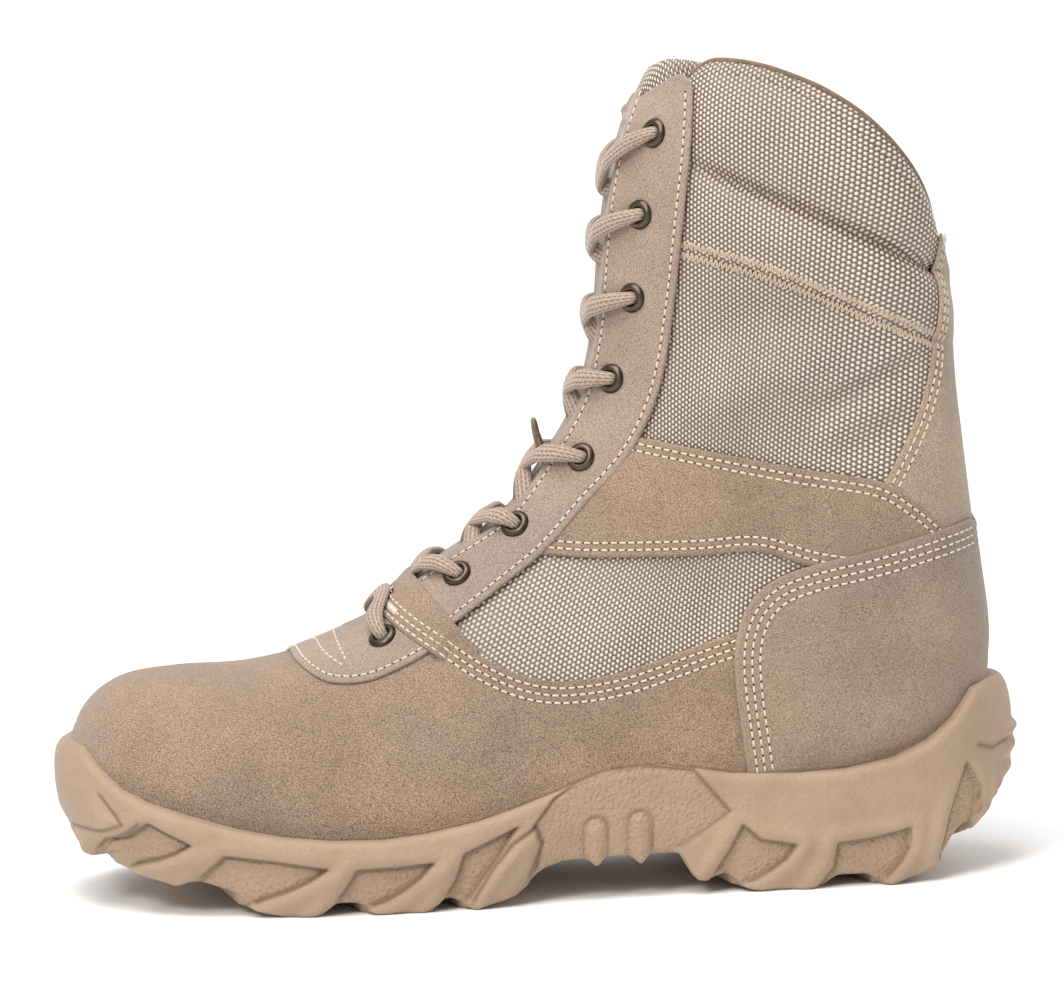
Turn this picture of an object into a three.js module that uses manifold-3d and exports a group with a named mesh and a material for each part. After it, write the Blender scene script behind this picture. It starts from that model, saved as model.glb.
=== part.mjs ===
// Combat boot for the left foot: an eight-inch lace-up desert boot in suede, nubuck and nylon
// on a moulded rubber lug sole, about EU 43.
// Millimetres. +X runs from toe to heel, -Y is the lateral (outer) side, +Z is up, and z = 0 is the
// floor. The origin is under the middle of the boot's length and width.
import * as THREE from "three";
import { mergeVertices } from "three/addons/utils/BufferGeometryUtils.js";
import Module from "manifold-3d";

const wasm = await Module();
wasm.setup();

// ---- Driving dimensions -------------------------------------------------------------------
const gap = 0.3; // clearance between neighbouring pieces
const wall = 2.2; // upper: outer material and lining together
const collarPadding = 5.5; // foam added to the wall at the padded collar
const overlay = 1.6; // suede and nubuck pieces laid over the upper
const tongueThickness = 4.5;
const insoleThickness = 4;
const throatHalfGap = 10; // half the opening between the two eyelet rows
const lugHeight = 5;
const eyeletHole = 3.4; // radius cut through facing and upper
const eyeletBarrel = 3.0;
const eyeletBore = 2.3;
const eyeletFlange = 4.8;
const eyeletFace = 2.7; // height of the flange's underside over the last
const eyeletLip = 0.9; // thickness of the flange
const eyeletSides = 6;
const laceWidth = 5.6;
const laceHeight = 2.6;
const middleShift = 2.6; // the leg's middle plane stands this far to the medial side of the origin

// ---- The last: one row for each section, from the toe tip to the collar --------------------
// front and back are the section's ends in side view; for the foot they are its top and bottom.
// lateral and medial are half widths, shift moves the centre line across, widest is where the
// section is widest (0 at the back, 1 at the front), the powers are superellipse exponents of
// the back and front halves, and bow lifts the middle of the section along the leg.
const columns = "frontX frontZ backX backZ lateral medial shift widest backPower frontPower bow"
  .split(" ");
const sections = [
  [-150.5, 40, -150.5, 40, 0, 0, 6, 0.4, 2.2, 2.2, 0],
  [-146, 57.5, -143, 24, 24, 20, 6, 0.4, 2.4, 2.2, 0],
  [-134, 67.5, -131, 16, 39, 32, 6, 0.36, 2.6, 2.2, 0],
  [-116, 70.5, -110, 11, 48, 39, 5, 0.32, 2.8, 2.25, 0],
  [-94, 71.5, -84, 7, 52.5, 43.5, 3.5, 0.3, 3, 2.2, 0],
  [-74, 76, -55, 5, 53, 46.5, 2, 0.3, 3, 2.1, 0],
  [-53, 86, -22, 6, 50.5, 46, 0.5, 0.3, 3, 1.95, 0],
  [-32, 105, 15, 10, 46.5, 42, -0.5, 0.3, 2.9, 1.8, 0],
  [-12, 120.5, 55, 14, 42.5, 40, -1, 0.32, 2.8, 1.75, 0],
  [2, 138, 100, 17, 39.5, 39, 0, 0.34, 2.6, 1.8, 0],
  [13.5, 158, 136, 36, 38.5, 38.5, 0, 0.36, 2.5, 1.85, 0],
  [19.5, 179, 144, 70, 38, 38, 0, 0.4, 2.4, 1.95, 3],
  [21.5, 199, 141.5, 100, 39, 39, 0, 0.44, 2.3, 2, 9],
  [24.5, 218, 137.5, 133, 42, 42, 0, 0.47, 2.2, 2.1, 17],
  [29.5, 235, 133.5, 166, 45, 45, 0, 0.5, 2.15, 2.15, 24],
  [36, 250, 131.5, 199, 46, 46, 0, 0.5, 2.1, 2.15, 29],
].map((row) => Object.fromEntries(row.map((value, i) => [columns[i], value])));
const top = sections.length - 1;

// ---- Heights along the boot, each a row of x and z ------------------------------------------
// floor is the sole's inner floor, lip the sole's upper edge, tread the lowest edge of the lugs.
const heights = {
  floor: [[-160, 38], [-146, 33], [-134, 25.5], [-122, 20], [-110, 16.5], [-95, 13.6],
    [-84, 12.5], [-55, 12], [-25, 14], [10, 18], [45, 22], [80, 24], [160, 24]],
  lip: [[-160, 51], [-148, 50], [-141, 43.5], [-134, 38], [-126, 34.5], [-112, 30.5], [-98, 26.8],
    [-84, 24.2], [-68, 22.6], [-52, 22.4], [-38, 23.8], [-22, 26.8], [-10, 30.4], [3, 35],
    [16, 40], [25, 41.5], [35, 41.5], [47, 39.6], [57, 37.6], [78, 36.6], [94, 37], [110, 39.7],
    [122, 44.6], [130, 50.6], [138, 60], [146, 61.5], [160, 61.5]],
  tread: [[-160, 30], [-148, 24], [-133, 15], [-120, 10], [-106, 6], [-94, 2.6], [-84, 0],
    [-24, 0], [-8, 4], [4, 8], [12, 8.4], [40, 8.4], [46, 4.6], [66, 0], [108, 0], [118, 2.6],
    [127, 7.5], [138, 17], [146, 24], [153, 33]],
};
const soleOutline = [ // x, lateral y, medial y, from just behind the toe tip to the heel
  [-150.8, -14, 25], [-140.5, -31, 38], [-125, -43.5, 45.5], [-104, -52, 50], [-80, -56.5, 52],
  [-54, -57.5, 52], [-25, -55, 49], [5, -50.5, 45], [35, -46.5, 42.5], [65, -44, 42.5],
  [95, -43, 43], [119, -39.5, 39.5], [138, -30.5, 30.5], [149.2, -16.5, 16.5],
];
const soleToe = [-154.6, 6];
const soleHeel = [154.2, 0];

// ---- Small geometry helpers -----------------------------------------------------------------
const mix = (a, b, t) => a + (b - a) * t;
const smooth = (a, b, x) => THREE.MathUtils.smoothstep(x, a, b);

function heightAt(name, x) {
  const table = heights[name];
  const i = Math.max(1, table.findIndex((row) => row[0] >= x));
  const [before, after] = [table[i - 1], table[i]];
  const t = THREE.MathUtils.clamp((x - before[0]) / (after[0] - before[0]), 0, 1);
  return mix(before[1], after[1], t);
}

// A closed indexed mesh as a manifold solid, turned to face outwards.
function solidOf(points, triangles) {
  const vertProperties = new Float32Array(points.flatMap((p) => [p.x, p.y, p.z]));
  const build = (t) =>
    new wasm.Manifold(new wasm.Mesh({ numProp: 3, vertProperties, triVerts: new Uint32Array(t) }));
  const made = build(triangles);
  if (made.volume() > 0) return made;
  const turned = triangles.slice();
  for (let i = 0; i < turned.length; i += 3) {
    [turned[i + 1], turned[i + 2]] = [turned[i + 2], turned[i + 1]];
  }
  return build(turned);
}

// A skin over a stack of equal rings, closed at both ends by a fan about the ring's middle.
function skin(rings) {
  const count = rings[0].length;
  const points = rings.flat();
  const triangles = [];
  for (let i = 0; i + 1 < rings.length; i++) {
    for (let j = 0; j < count; j++) {
      const a = i * count + j;
      const b = i * count + ((j + 1) % count);
      triangles.push(a, b, b + count, a, b + count, a + count);
    }
  }
  for (const [i, flip] of [[0, true], [rings.length - 1, false]]) {
    const middle = new THREE.Vector3();
    rings[i].forEach((p) => middle.addScaledVector(p, 1 / count));
    const m = points.push(middle) - 1;
    for (let j = 0; j < count; j++) {
      const a = i * count + j;
      const b = i * count + ((j + 1) % count);
      triangles.push(...(flip ? [b, a, m] : [a, b, m]));
    }
  }
  return solidOf(points, triangles);
}

// A three.js geometry as a manifold solid.
function solidOfGeometry(geometry) {
  const bare = geometry.clone();
  bare.deleteAttribute("normal");
  bare.deleteAttribute("uv");
  const merged = mergeVertices(bare, 1e-4);
  const p = merged.attributes.position;
  const points = Array.from({ length: p.count }, (_, i) => new THREE.Vector3().fromBufferAttribute(p, i));
  return solidOf(points, Array.from(merged.index.array));
}

// A prism across the boot over a side-view outline of [x, z] points.
function sidePrism(outline, fromY = -90, toY = 90) {
  const shape = new THREE.Shape(outline.map(([x, z]) => new THREE.Vector2(x, z)));
  const geometry = new THREE.ExtrudeGeometry(shape, { depth: toY - fromY, bevelEnabled: false });
  geometry.rotateX(Math.PI / 2).translate(0, toY, 0);
  return solidOfGeometry(geometry);
}

// The same outline moved outwards by a distance, for the clearance round a neighbour.
function grown(outline, distance) {
  const turn = Math.sign(THREE.ShapeUtils.area(outline.map(([x, y]) => ({ x, y }))));
  return outline.map(([x, z], i) => {
    const [ax, az] = outline.at(i - 1);
    const [bx, bz] = outline[(i + 1) % outline.length];
    const length = Math.hypot(bx - ax, bz - az);
    return [x + (turn * distance * (bz - az)) / length, z - (turn * distance * (bx - ax)) / length];
  });
}

// Everything under a height curve, moved up by some distance.
function below(name, raise) {
  const curve = heights[name].map(([x, z]) => [x, z + raise]);
  return sidePrism([[170, -40], [-170, -40], [-170, curve[0][1]], ...curve, [170, curve.at(-1)[1]]]);
}

// ---- The last's surface -----------------------------------------------------------------------
// A section at any station u: Catmull-Rom between the table's rows. Ahead of the toe tip the
// section mirrors through the tip, which rounds the nose.
function sectionAt(u) {
  const odd = new Set(["halfX", "halfZ", "lateral", "medial"]);
  const row = (i) => {
    const s = sections[Math.min(Math.abs(i), top)];
    const values = {
      ...s,
      midX: (s.frontX + s.backX) / 2,
      midZ: (s.frontZ + s.backZ) / 2,
      halfX: (s.frontX - s.backX) / 2,
      halfZ: (s.frontZ - s.backZ) / 2,
    };
    if (i < 0) odd.forEach((key) => (values[key] = -values[key]));
    return values;
  };
  const i = Math.min(Math.floor(u), top - 1);
  const t = u - i;
  const [p0, p1, p2, p3] = [row(i - 1), row(i), row(i + 1), row(i + 2)];
  if (i + 2 > top) {
    for (const key in p3) p3[key] = 2 * p2[key] - p1[key];
  }
  const blend = (key) =>
    p1[key] + 0.5 * t * (p2[key] - p0[key] + t * (2 * p0[key] - 5 * p1[key] + 4 * p2[key] - p3[key]
      + t * (3 * (p1[key] - p2[key]) + p3[key] - p0[key])));
  return Object.fromEntries(Object.keys(p1).map((key) => [key, blend(key)]));
}

// The point at station u, a share s of the way round from back (0) to front (1), on one side
// (-1 lateral, 1 medial). The share is measured along the section's own curve.
const profileSteps = 48;
function lastPoint(u, s, side) {
  const c = sectionAt(u);
  const chord = 2 * Math.hypot(c.halfX, c.halfZ);
  const width = side < 0 ? c.lateral : c.medial;
  const curve = [];
  for (let k = 0; k <= profileSteps; k++) {
    const angle = (Math.PI * k) / profileSteps;
    const back = angle <= Math.PI / 2;
    const power = 2 / (back ? c.backPower : c.frontPower);
    const reach = Math.abs(Math.cos(angle)) ** power;
    curve.push({
      along: back ? c.widest * (1 - reach) : c.widest + (1 - c.widest) * reach,
      across: Math.abs(Math.sin(angle)) ** power,
      length: 0,
    });
    if (k > 0) {
      const [a, b] = curve.slice(-2);
      b.length = a.length + Math.hypot((b.along - a.along) * chord, (b.across - a.across) * width);
    }
  }
  const target = s * curve.at(-1).length;
  const k = Math.max(1, curve.findIndex((p) => p.length >= target - 1e-9));
  const [a, b] = [curve[k - 1], curve[k]];
  const t = b.length > a.length ? (target - a.length) / (b.length - a.length) : 0;
  const along = mix(a.along, b.along, t) * 2 - 1;
  const across = mix(a.across, b.across, t);
  const lift = (c.bow * across ** (along < 2 * c.widest - 1 ? 2 : 1)) / Math.max(chord, 1);
  return new THREE.Vector3(
    c.midX + along * c.halfX - lift * 2 * -c.halfZ,
    c.shift + side * across * width,
    c.midZ + along * c.halfZ - lift * 2 * c.halfX,
  );
}

function lastNormal(u, s, side) {
  const step = 0.02;
  const alongLeg = lastPoint(Math.min(u + step, top), s, side)
    .sub(lastPoint(Math.max(u - step, 0.01), s, side));
  const ahead = s + step > 1 ? lastPoint(u, 2 - s - step, -side) : lastPoint(u, s + step, side);
  const behind = s - step < 0 ? lastPoint(u, step - s, -side) : lastPoint(u, s - step, side);
  return alongLeg.cross(ahead.sub(behind)).multiplyScalar(-side).normalize();
}

// The padded collar swells into two rolls, above and below a crease that falls towards the heel.
const creaseHeight = (x) => 226.8 - 0.45 * (x - 50.6);
const quiltHeight = (x) => 200.8 - 0.38 * (x - 46.3);
function padding(p) {
  const behindFacing = smooth(46, 60, p.x);
  const crease = creaseHeight(p.x);
  const quilt = quiltHeight(p.x);
  const lower = THREE.MathUtils.clamp((p.z - quilt) / (crease - quilt), 0, 1);
  const upper = THREE.MathUtils.clamp((p.z - crease) / 36, 0, 1);
  return behindFacing * (1.8 * Math.sin(Math.PI * lower) + 3 * Math.sin(Math.PI * upper) ** 0.7);
}

// A closed form of the last with its surface moved outwards by a distance. Inside, the padded
// collar is thicker, and an open form runs on past the collar so that it cuts the mouth open.
const stations = [0.12, 0.35, 0.65];
for (let u = 1; u <= top; u += 2 / 3) stations.push(u);
const sideSteps = 10;
function lastForm(distance, { open = false, pad = true } = {}) {
  const round = [];
  for (let j = 0; j < sideSteps; j++) round.push([j / sideSteps, 1]);
  for (let j = sideSteps; j > 0; j--) round.push([j / sideSteps, -1]);
  const rings = stations.map((u) =>
    round.map(([s, side]) => {
      const p = lastPoint(u, s, side);
      const inner = distance < -1 ? collarPadding * smooth(quiltHeight(p.x), creaseHeight(p.x), p.z)
        * smooth(46, 62, p.x) : 0;
      const reach = distance - inner + (pad && !inner ? padding(p) : 0);
      return p.addScaledVector(lastNormal(u, s, side), reach);
    }));
  if (open) {
    const { halfX, halfZ } = sectionAt(top);
    const up = new THREE.Vector3(halfZ, 0, -halfX).normalize();
    rings.push(rings.at(-1).map((p) => p.clone().addScaledVector(up, 25)));
  }
  return skin(rings);
}

// A lengthwise slot over the instep and up the front of the leg, as wide as the throat.
function throatSlot(halfGap, inwards) {
  const rings = [];
  for (let u = 5.75; u <= top + 0.01; u += 0.5) {
    const p = lastPoint(Math.min(u, top), 1, 1);
    const n = lastNormal(Math.min(u, top), 1, 1).setY(0).normalize();
    rings.push([[-1, 1], [1, 1], [1, -1], [-1, -1]].map(([across, out]) =>
      p.clone().setY(across * halfGap).addScaledVector(n, out > 0 ? 16 : -inwards)));
  }
  const { halfX, halfZ } = sectionAt(top);
  const up = new THREE.Vector3(halfZ, 0, -halfX).normalize();
  rings.push(rings.at(-1).map((p) => p.clone().addScaledVector(up, 45)));
  const end = lastPoint(5.75, 1, 1);
  const nose = new THREE.CylinderGeometry(halfGap, halfGap, 30, 12).rotateX(Math.PI / 2)
    .rotateY(-0.5).translate(end.x, 0, end.z + 4);
  return skin(rings).add(solidOfGeometry(nose));
}

// ---- Side-view outlines of the pieces laid over the upper, each a loop of [x, z] ---------------
const facingOutline = [
  [-81, 79], [-76, 72], [-67, 68], [-55, 68.5], [-42, 73], [-32, 79], [-29, 84], [-13, 95.5],
  [2.5, 107.5], [15.5, 121], [28, 134.5], [36.5, 148], [41.5, 164], [45, 185], [47, 201],
  [49, 216], [51, 231.5], [52, 243], [51, 250], [48, 253.5], [42, 253.3], [35, 250], [15, 245],
  [-5, 180], [-40, 130], [-75, 105],
];
const counterOutline = [
  [64, 20], [62, 37], [59.5, 60], [59.5, 76], [63.5, 88], [71.5, 96.5], [84, 101.5], [103, 105.5],
  [125, 111], [142, 114.5], [165, 118], [165, 20],
];
const bandOutline = [
  [-6, 103], [17.5, 105], [49, 105.2], [68, 104.5], [84, 98], [130, 108], [126.5, 112.7],
  [119, 119.3], [106.5, 127], [81, 132], [50, 138.6], [28, 143.5], [10, 130],
];
const backstayOutline = [
  [126.5, 203], [125, 175], [122.5, 161], [117.5, 145.5], [107, 128], [119, 119.3], [126.5, 112.7],
  [129, 109], [170, 118], [170, 203],
];

// Between the upper's surface and an outer form, inside an outline, and clear of neighbours.
const skinSide = lastForm(gap, { open: true });
const overlaySide = lastForm(gap + overlay);
const overlayShell = overlaySide.subtract(skinSide).subtract(below("lip", 5 * gap));
function overlayPiece(outline, neighbours) {
  return neighbours.reduce(
    (made, neighbour) => made.subtract(sidePrism(grown(neighbour, gap))),
    overlayShell.intersect(sidePrism(outline)),
  );
}
const lateralHalf = sidePrism([[-200, -50], [200, -50], [200, 300], [-200, 300]], -90, 0);
const medialHalf = sidePrism([[-200, -50], [200, -50], [200, 300], [-200, 300]], 0, 90);

// ---- Eyelets: eight a side, each row a place in side view ---------------------------------------
const eyeletPlaces = [
  [-49, 80.5], [-25, 99.5], [-6, 114.5], [15.5, 135.5], [26, 160.5], [33, 186], [36, 212],
  [41, 237],
];

// The place on the last, and its normal there, that shows at [x, z] in side view.
function spotAt([x, z], side) {
  let best = { miss: Infinity };
  let [u0, s0, reachU, reachS] = [10, 0.7, 6, 0.3];
  for (let pass = 0; pass < 7; pass++) {
    for (let i = -6; i <= 6; i++) {
      for (let j = -6; j <= 6; j++) {
        const u = THREE.MathUtils.clamp(u0 + (reachU * i) / 6, 4, top);
        const s = THREE.MathUtils.clamp(s0 + (reachS * j) / 6, 0.4, 1);
        const p = lastPoint(u, s, side);
        const miss = Math.hypot(p.x - x, p.z - z);
        if (miss < best.miss) best = { miss, u, s, point: p };
      }
    }
    [u0, s0, reachU, reachS] = [best.u, best.s, reachU / 3, reachS / 3];
  }
  return { ...best, normal: lastNormal(best.u, best.s, side) };
}

const sides = { lateral: -1, medial: 1 };
const eyeletSpots = [];
for (const [sideName, side] of Object.entries(sides)) {
  eyeletPlaces.forEach((place, i) => {
    eyeletSpots.push({ name: `eyelet_${sideName}_${i + 1}`, sideName, i, ...spotAt(place, side) });
  });
}
function alongNormal(geometry, { point, normal }) {
  const turn = new THREE.Quaternion().setFromUnitVectors(new THREE.Vector3(0, 1, 0), normal);
  return geometry.applyQuaternion(turn).translate(point.x, point.y, point.z);
}
const eyeletHoles = eyeletSpots.map((spot) =>
  solidOfGeometry(alongNormal(new THREE.CylinderGeometry(eyeletHole, eyeletHole, 16, eyeletSides), spot)));
const cutEyelets = (piece) => eyeletHoles.reduce((made, hole) => made.subtract(hole), piece);

// ---- The pieces ---------------------------------------------------------------------------------
const floorCut = below("floor", gap);
const throat = throatSlot(throatHalfGap, 22);

function upper() {
  return cutEyelets(
    lastForm(0).subtract(lastForm(-wall, { open: true, pad: false })).subtract(floorCut).subtract(throat),
  );
}

function facing() {
  return cutEyelets(overlayShell.intersect(sidePrism(facingOutline)).subtract(throat));
}

// The tongue lies under the throat and stands a little above the facing at the top, where its
// outline in side view rounds it off.
const tongueOutline = [
  [-160, 40], [-90, 130], [18, 235], [31, 249], [37, 256], [46, 261], [57, 262.5], [68, 259.5],
  [76, 250], [80, 235], [80, 40],
];
function tongue() {
  const rings = [];
  const spread = [0.26, 0.19, 0.12, 0.06, 0];
  for (let u = 5.4; u <= top + 0.31; u += 0.9) {
    const station = Math.min(u, top);
    const { halfX, halfZ } = sectionAt(top);
    const up = new THREE.Vector3(halfZ, 0, -halfX).normalize().multiplyScalar(11 * (u - station) / 0.3);
    const at = (share, side, depth) => lastPoint(station, 1 - share, side)
      .addScaledVector(lastNormal(station, 1 - share, side), -depth).add(up);
    const outer = wall + gap + 0.9;
    const outerRow = [
      ...spread.map((share) => at(share, -1, outer)),
      ...spread.slice(0, -1).reverse().map((share) => at(share, 1, outer)),
    ];
    const innerRow = [
      ...spread.map((share) => at(share, -1, outer + tongueThickness)),
      ...spread.slice(0, -1).reverse().map((share) => at(share, 1, outer + tongueThickness)),
    ].reverse();
    rings.push([...outerRow, ...innerRow]);
  }
  return skin(rings).intersect(lastForm(-wall - gap, { open: true, pad: false }))
    .intersect(sidePrism(tongueOutline));
}

function insole() {
  return lastForm(-wall - gap, { pad: false })
    .intersect(below("floor", gap + insoleThickness))
    .subtract(floorCut);
}

// The sole's plan outline as a smooth closed loop of points, moved inwards by some distance.
function soleLoop(inset, count = 56) {
  const lateral = soleOutline.map(([x, y]) => new THREE.Vector3(x, y, 0));
  const medial = soleOutline.map(([x, , y]) => new THREE.Vector3(x, y, 0)).reverse();
  const toe = new THREE.Vector3(...soleToe, 0);
  const heel = new THREE.Vector3(...soleHeel, 0);
  const loop = new THREE.CatmullRomCurve3([toe, ...lateral, heel, ...medial], true);
  return Array.from({ length: count }, (_, i) => {
    const p = loop.getPointAt(i / count);
    const t = loop.getTangentAt(i / count);
    return new THREE.Vector3(p.x - inset * t.y, p.y + inset * t.x, 0);
  });
}

// Rows of the sole wall up to the lip: inset from the outline, and the share of the way from the
// tread's base to the lip. The first row starts under the floor, and the tread's curve cuts it off.
const wallRows = [[7, -0.9], [2.6, 0], [0.7, 0.3], [0, 0.6], [0.6, 0.87], [1.5, 0.98], [2.6, 1], [12, 1]];
const baseAt = (x) => heightAt("tread", x) + lugHeight;

// Lugs round the edge: where each starts and ends along the boot. Each runs inwards and a little
// towards the toe, on both sides.
const edgeLugs = [[-141, -129], [-124, -108], [-102, -78], [-71, -42], [-35, -8], [44, 58],
  [63, 86], [92, 106], [111, 130]];
const lugReach = 25;
const lugSlant = 9;
// Lugs down the middle: centre, length and half width.
const middleLugs = [[-112, 12, 15], [-88, 13, 22], [-62, 14, 25], [-35, 13, 22], [-10, 10, 17],
  [55, 10, 10], [78, 12, 14], [102, 12, 12]];

function edgeAt(x, side) {
  const i = Math.max(1, soleOutline.findIndex((row) => row[0] >= x));
  const [a, b] = [soleOutline[i - 1], soleOutline[i]];
  const column = side < 0 ? 1 : 2;
  return mix(a[column], b[column], (x - a[0]) / (b[0] - a[0]));
}

// A lug over a plan quadrilateral, from the tread's lowest edge up into the sole.
function lug(corners) {
  const rings = [0, lugHeight + 4].map((raise, level) =>
    corners.map(([x, y]) => {
      const [cx, cy] = [0, 1].map((axis) => corners.reduce((sum, c) => sum + c[axis] / 4, 0));
      const taper = level === 0 ? 0.88 : 1;
      const px = mix(cx, x, taper);
      return new THREE.Vector3(px, mix(cy, y, taper), heightAt("tread", px) + raise);
    }));
  return skin(rings);
}

function outsole() {
  const rings = wallRows.map(([inset, share]) =>
    soleLoop(inset).map((p) => p.setZ(mix(baseAt(p.x), heightAt("lip", p.x), share))));
  let sole = skin(rings).subtract(below("tread", lugHeight));
  for (const side of Object.values(sides)) {
    for (const [from, to] of edgeLugs) {
      const outer = [edgeAt(from, side), edgeAt(to, side)].map((y) => y - side * 0.6);
      const inner = outer.map((y) => y - side * lugReach);
      sole = sole.add(lug([[from, outer[0]], [to, outer[1]], [to - lugSlant, inner[1]],
        [from - lugSlant, inner[0]]]));
    }
  }
  for (const [x, length, halfWidth] of middleLugs) {
    sole = sole.add(lug([[x - length / 2, -halfWidth], [x + length / 2, -halfWidth],
      [x + length / 2, halfWidth], [x - length / 2, halfWidth]]));
  }
  const cavity = lastForm(gap, { pad: false }).subtract(below("floor", 0));
  return sole.subtract(cavity);
}

// An eyelet: a barrel through facing and wall under a rolled flange, on the leather's face.
function eyelet(spot) {
  const face = eyeletFace;
  const profile = [[eyeletBore, -wall], [eyeletBarrel, -wall], [eyeletBarrel, face],
    [eyeletFlange, face], [eyeletFlange - 0.6, face + eyeletLip],
    [eyeletBore + 0.4, face + eyeletLip],
    [eyeletBore, -wall]];
  const points = profile.map(([r, h]) => new THREE.Vector2(r, h));
  return solidOfGeometry(alongNormal(new THREE.LatheGeometry(points, eyeletSides), spot));
}

// The middle of a lace over the last where it lies on an eyelet.
const laceOut = eyeletFace + eyeletLip + laceHeight / 2 + 3.5 * gap;

// One strand of lace from an eyelet over the facing's edge and across the throat.
function strand(from, to, hump) {
  const out = laceOut;
  const start = from.point.clone().addScaledVector(from.normal, out);
  const edge = edgePoint(from, out + 0.5);
  const end = edgePoint(to, out - 3).setY(Math.sign(to.point.y) * (throatHalfGap - 3));
  const middle = edge.clone().add(end).multiplyScalar(0.5);
  middle.addScaledVector(from.normal.clone().setY(0).normalize(), hump);
  start.lerp(edge, 0.28);
  return tube(new THREE.CatmullRomCurve3([start, edge, middle, end]), 5, 6);
}

// The bar of lace between the two lowest eyelets, lying over the facing's closed front end.
function bar(from, to) {
  const out = laceOut;
  const ends = [from, to].map((spot) => spot.point.clone().addScaledVector(spot.normal, out));
  const edges = [from, to].map((spot) => edgePoint(spot, out + 0.5));
  ends[0].lerp(edges[0], 0.28);
  ends[1].lerp(edges[1], 0.28);
  const middle = edges[0].clone().add(edges[1]).multiplyScalar(0.5);
  middle.addScaledVector(from.normal.clone().setY(0).normalize(), 3);
  return tube(new THREE.CatmullRomCurve3([ends[0], edges[0], middle, edges[1], ends[1]]), 6, 6);
}

// Where the strand from an eyelet passes over the facing's front edge.
function edgePoint(spot, out) {
  const side = Math.sign(spot.point.y);
  let s = spot.s;
  while (Math.abs(lastPoint(spot.u, s, side).y) > throatHalfGap + 1 && s < 1) s += 0.005;
  return lastPoint(spot.u, s, side).addScaledVector(lastNormal(spot.u, s, side), out);
}
// An oval tube along a curve, flat side to the boot.
function tube(path, steps, around) {
  const rings = [];
  for (let i = 0; i <= steps; i++) {
    const p = path.getPoint(i / steps);
    const t = path.getTangent(i / steps);
    const flat = new THREE.Vector3(0.75, 0, -0.66).cross(t).cross(t).normalize();
    const broad = flat.clone().cross(t).normalize();
    rings.push(Array.from({ length: around }, (_, j) => {
      const angle = (2 * Math.PI * j) / around;
      return p.clone().addScaledVector(broad, (laceWidth / 2) * Math.cos(angle))
        .addScaledVector(flat, (laceHeight / 2) * Math.sin(angle));
    }));
  }
  return skin(rings);
}

// ---- Materials: colour, roughness and metalness -------------------------------------------------
const materials = {
  suede: [0xb39a7e, 0.95, 0],
  nubuck: [0xa89682, 0.9, 0],
  nylon: [0xc3b29c, 0.7, 0],
  rubber: [0xb99d7d, 0.8, 0],
  foam: [0x8d7c66, 0.95, 0],
  lining: [0x9c8a72, 0.95, 0],
  brass: [0x6a5842, 0.45, 0.9],
  lace: [0xa79683, 0.85, 0],
};

const boot = new THREE.Group();
boot.position.set(0.4, middleShift, 0);
function addPiece(name, solid, materialName) {
  const made = solid.getMesh();
  const stride = made.numProp;
  const positions = new Float32Array(made.numVert * 3);
  for (let i = 0; i < made.numVert; i++) {
    positions.set(made.vertProperties.subarray(i * stride, i * stride + 3), i * 3);
  }
  const geometry = new THREE.BufferGeometry();
  geometry.setAttribute("position", new THREE.BufferAttribute(positions, 3));
  geometry.setIndex(new THREE.BufferAttribute(made.triVerts, 1));
  geometry.computeVertexNormals();
  const [color, roughness, metalness] = materials[materialName];
  const mesh = new THREE.Mesh(geometry, new THREE.MeshStandardMaterial({ color, roughness, metalness }));
  mesh.name = name;
  boot.add(mesh);
}

addPiece("upper", upper(), "nylon");
addPiece("outsole", outsole(), "rubber");
addPiece("insole", insole(), "foam");
addPiece("tongue", tongue(), "nylon");
addPiece("facing", facing(), "nubuck");
addPiece("heel_counter", overlayPiece(counterOutline, []), "suede");
const band = overlayPiece(bandOutline, [facingOutline, counterOutline]);
addPiece("ankle_band_lateral", band.intersect(lateralHalf), "suede");
addPiece("ankle_band_medial", band.intersect(medialHalf), "suede");
addPiece("backstay", overlayPiece(backstayOutline, [bandOutline, counterOutline]), "suede");
eyeletSpots.forEach((spot) => addPiece(spot.name, eyelet(spot), "brass"));
const spots = (sideName) => eyeletSpots.filter((spot) => spot.sideName === sideName);
const [outer, inner] = [spots("lateral"), spots("medial")];
addPiece("lace_bar", bar(outer[0], inner[0]), "lace");
for (let i = 1; i < eyeletPlaces.length; i++) {
  const crossing = strand(outer[i], inner[i - 1], 1.4).add(strand(inner[i], outer[i - 1], 0));
  addPiece(`lace_crossing_${i}`, crossing, "lace");
}

export default boot;
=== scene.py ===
# An eight-inch lace-up desert boot for the left foot: suede, nubuck and ballistic nylon on a
# moulded rubber lug sole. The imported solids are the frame, and each visible piece is made here as
# a surface over the same last, in millimetres, and scaled to metres as its mesh is built.
import math

import bpy
import numpy as np
from mathutils import Matrix, Vector
from mathutils.geometry import delaunay_2d_cdt


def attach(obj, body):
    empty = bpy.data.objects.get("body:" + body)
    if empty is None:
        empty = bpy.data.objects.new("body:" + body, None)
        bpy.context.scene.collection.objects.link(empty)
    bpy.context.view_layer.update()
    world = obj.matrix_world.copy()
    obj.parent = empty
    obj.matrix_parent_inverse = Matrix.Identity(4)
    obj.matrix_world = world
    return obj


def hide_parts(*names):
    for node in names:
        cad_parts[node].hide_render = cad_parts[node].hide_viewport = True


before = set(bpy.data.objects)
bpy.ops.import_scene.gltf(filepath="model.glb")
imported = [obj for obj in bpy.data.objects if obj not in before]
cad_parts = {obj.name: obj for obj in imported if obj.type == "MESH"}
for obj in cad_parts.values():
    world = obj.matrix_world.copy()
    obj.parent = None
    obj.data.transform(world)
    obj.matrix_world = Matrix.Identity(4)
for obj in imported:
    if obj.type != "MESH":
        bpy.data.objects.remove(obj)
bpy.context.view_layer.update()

MM = 0.001
leg_middle = np.array([0.4, 2.6, 0.0])  # where the last's middle plane meets the floor

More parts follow.
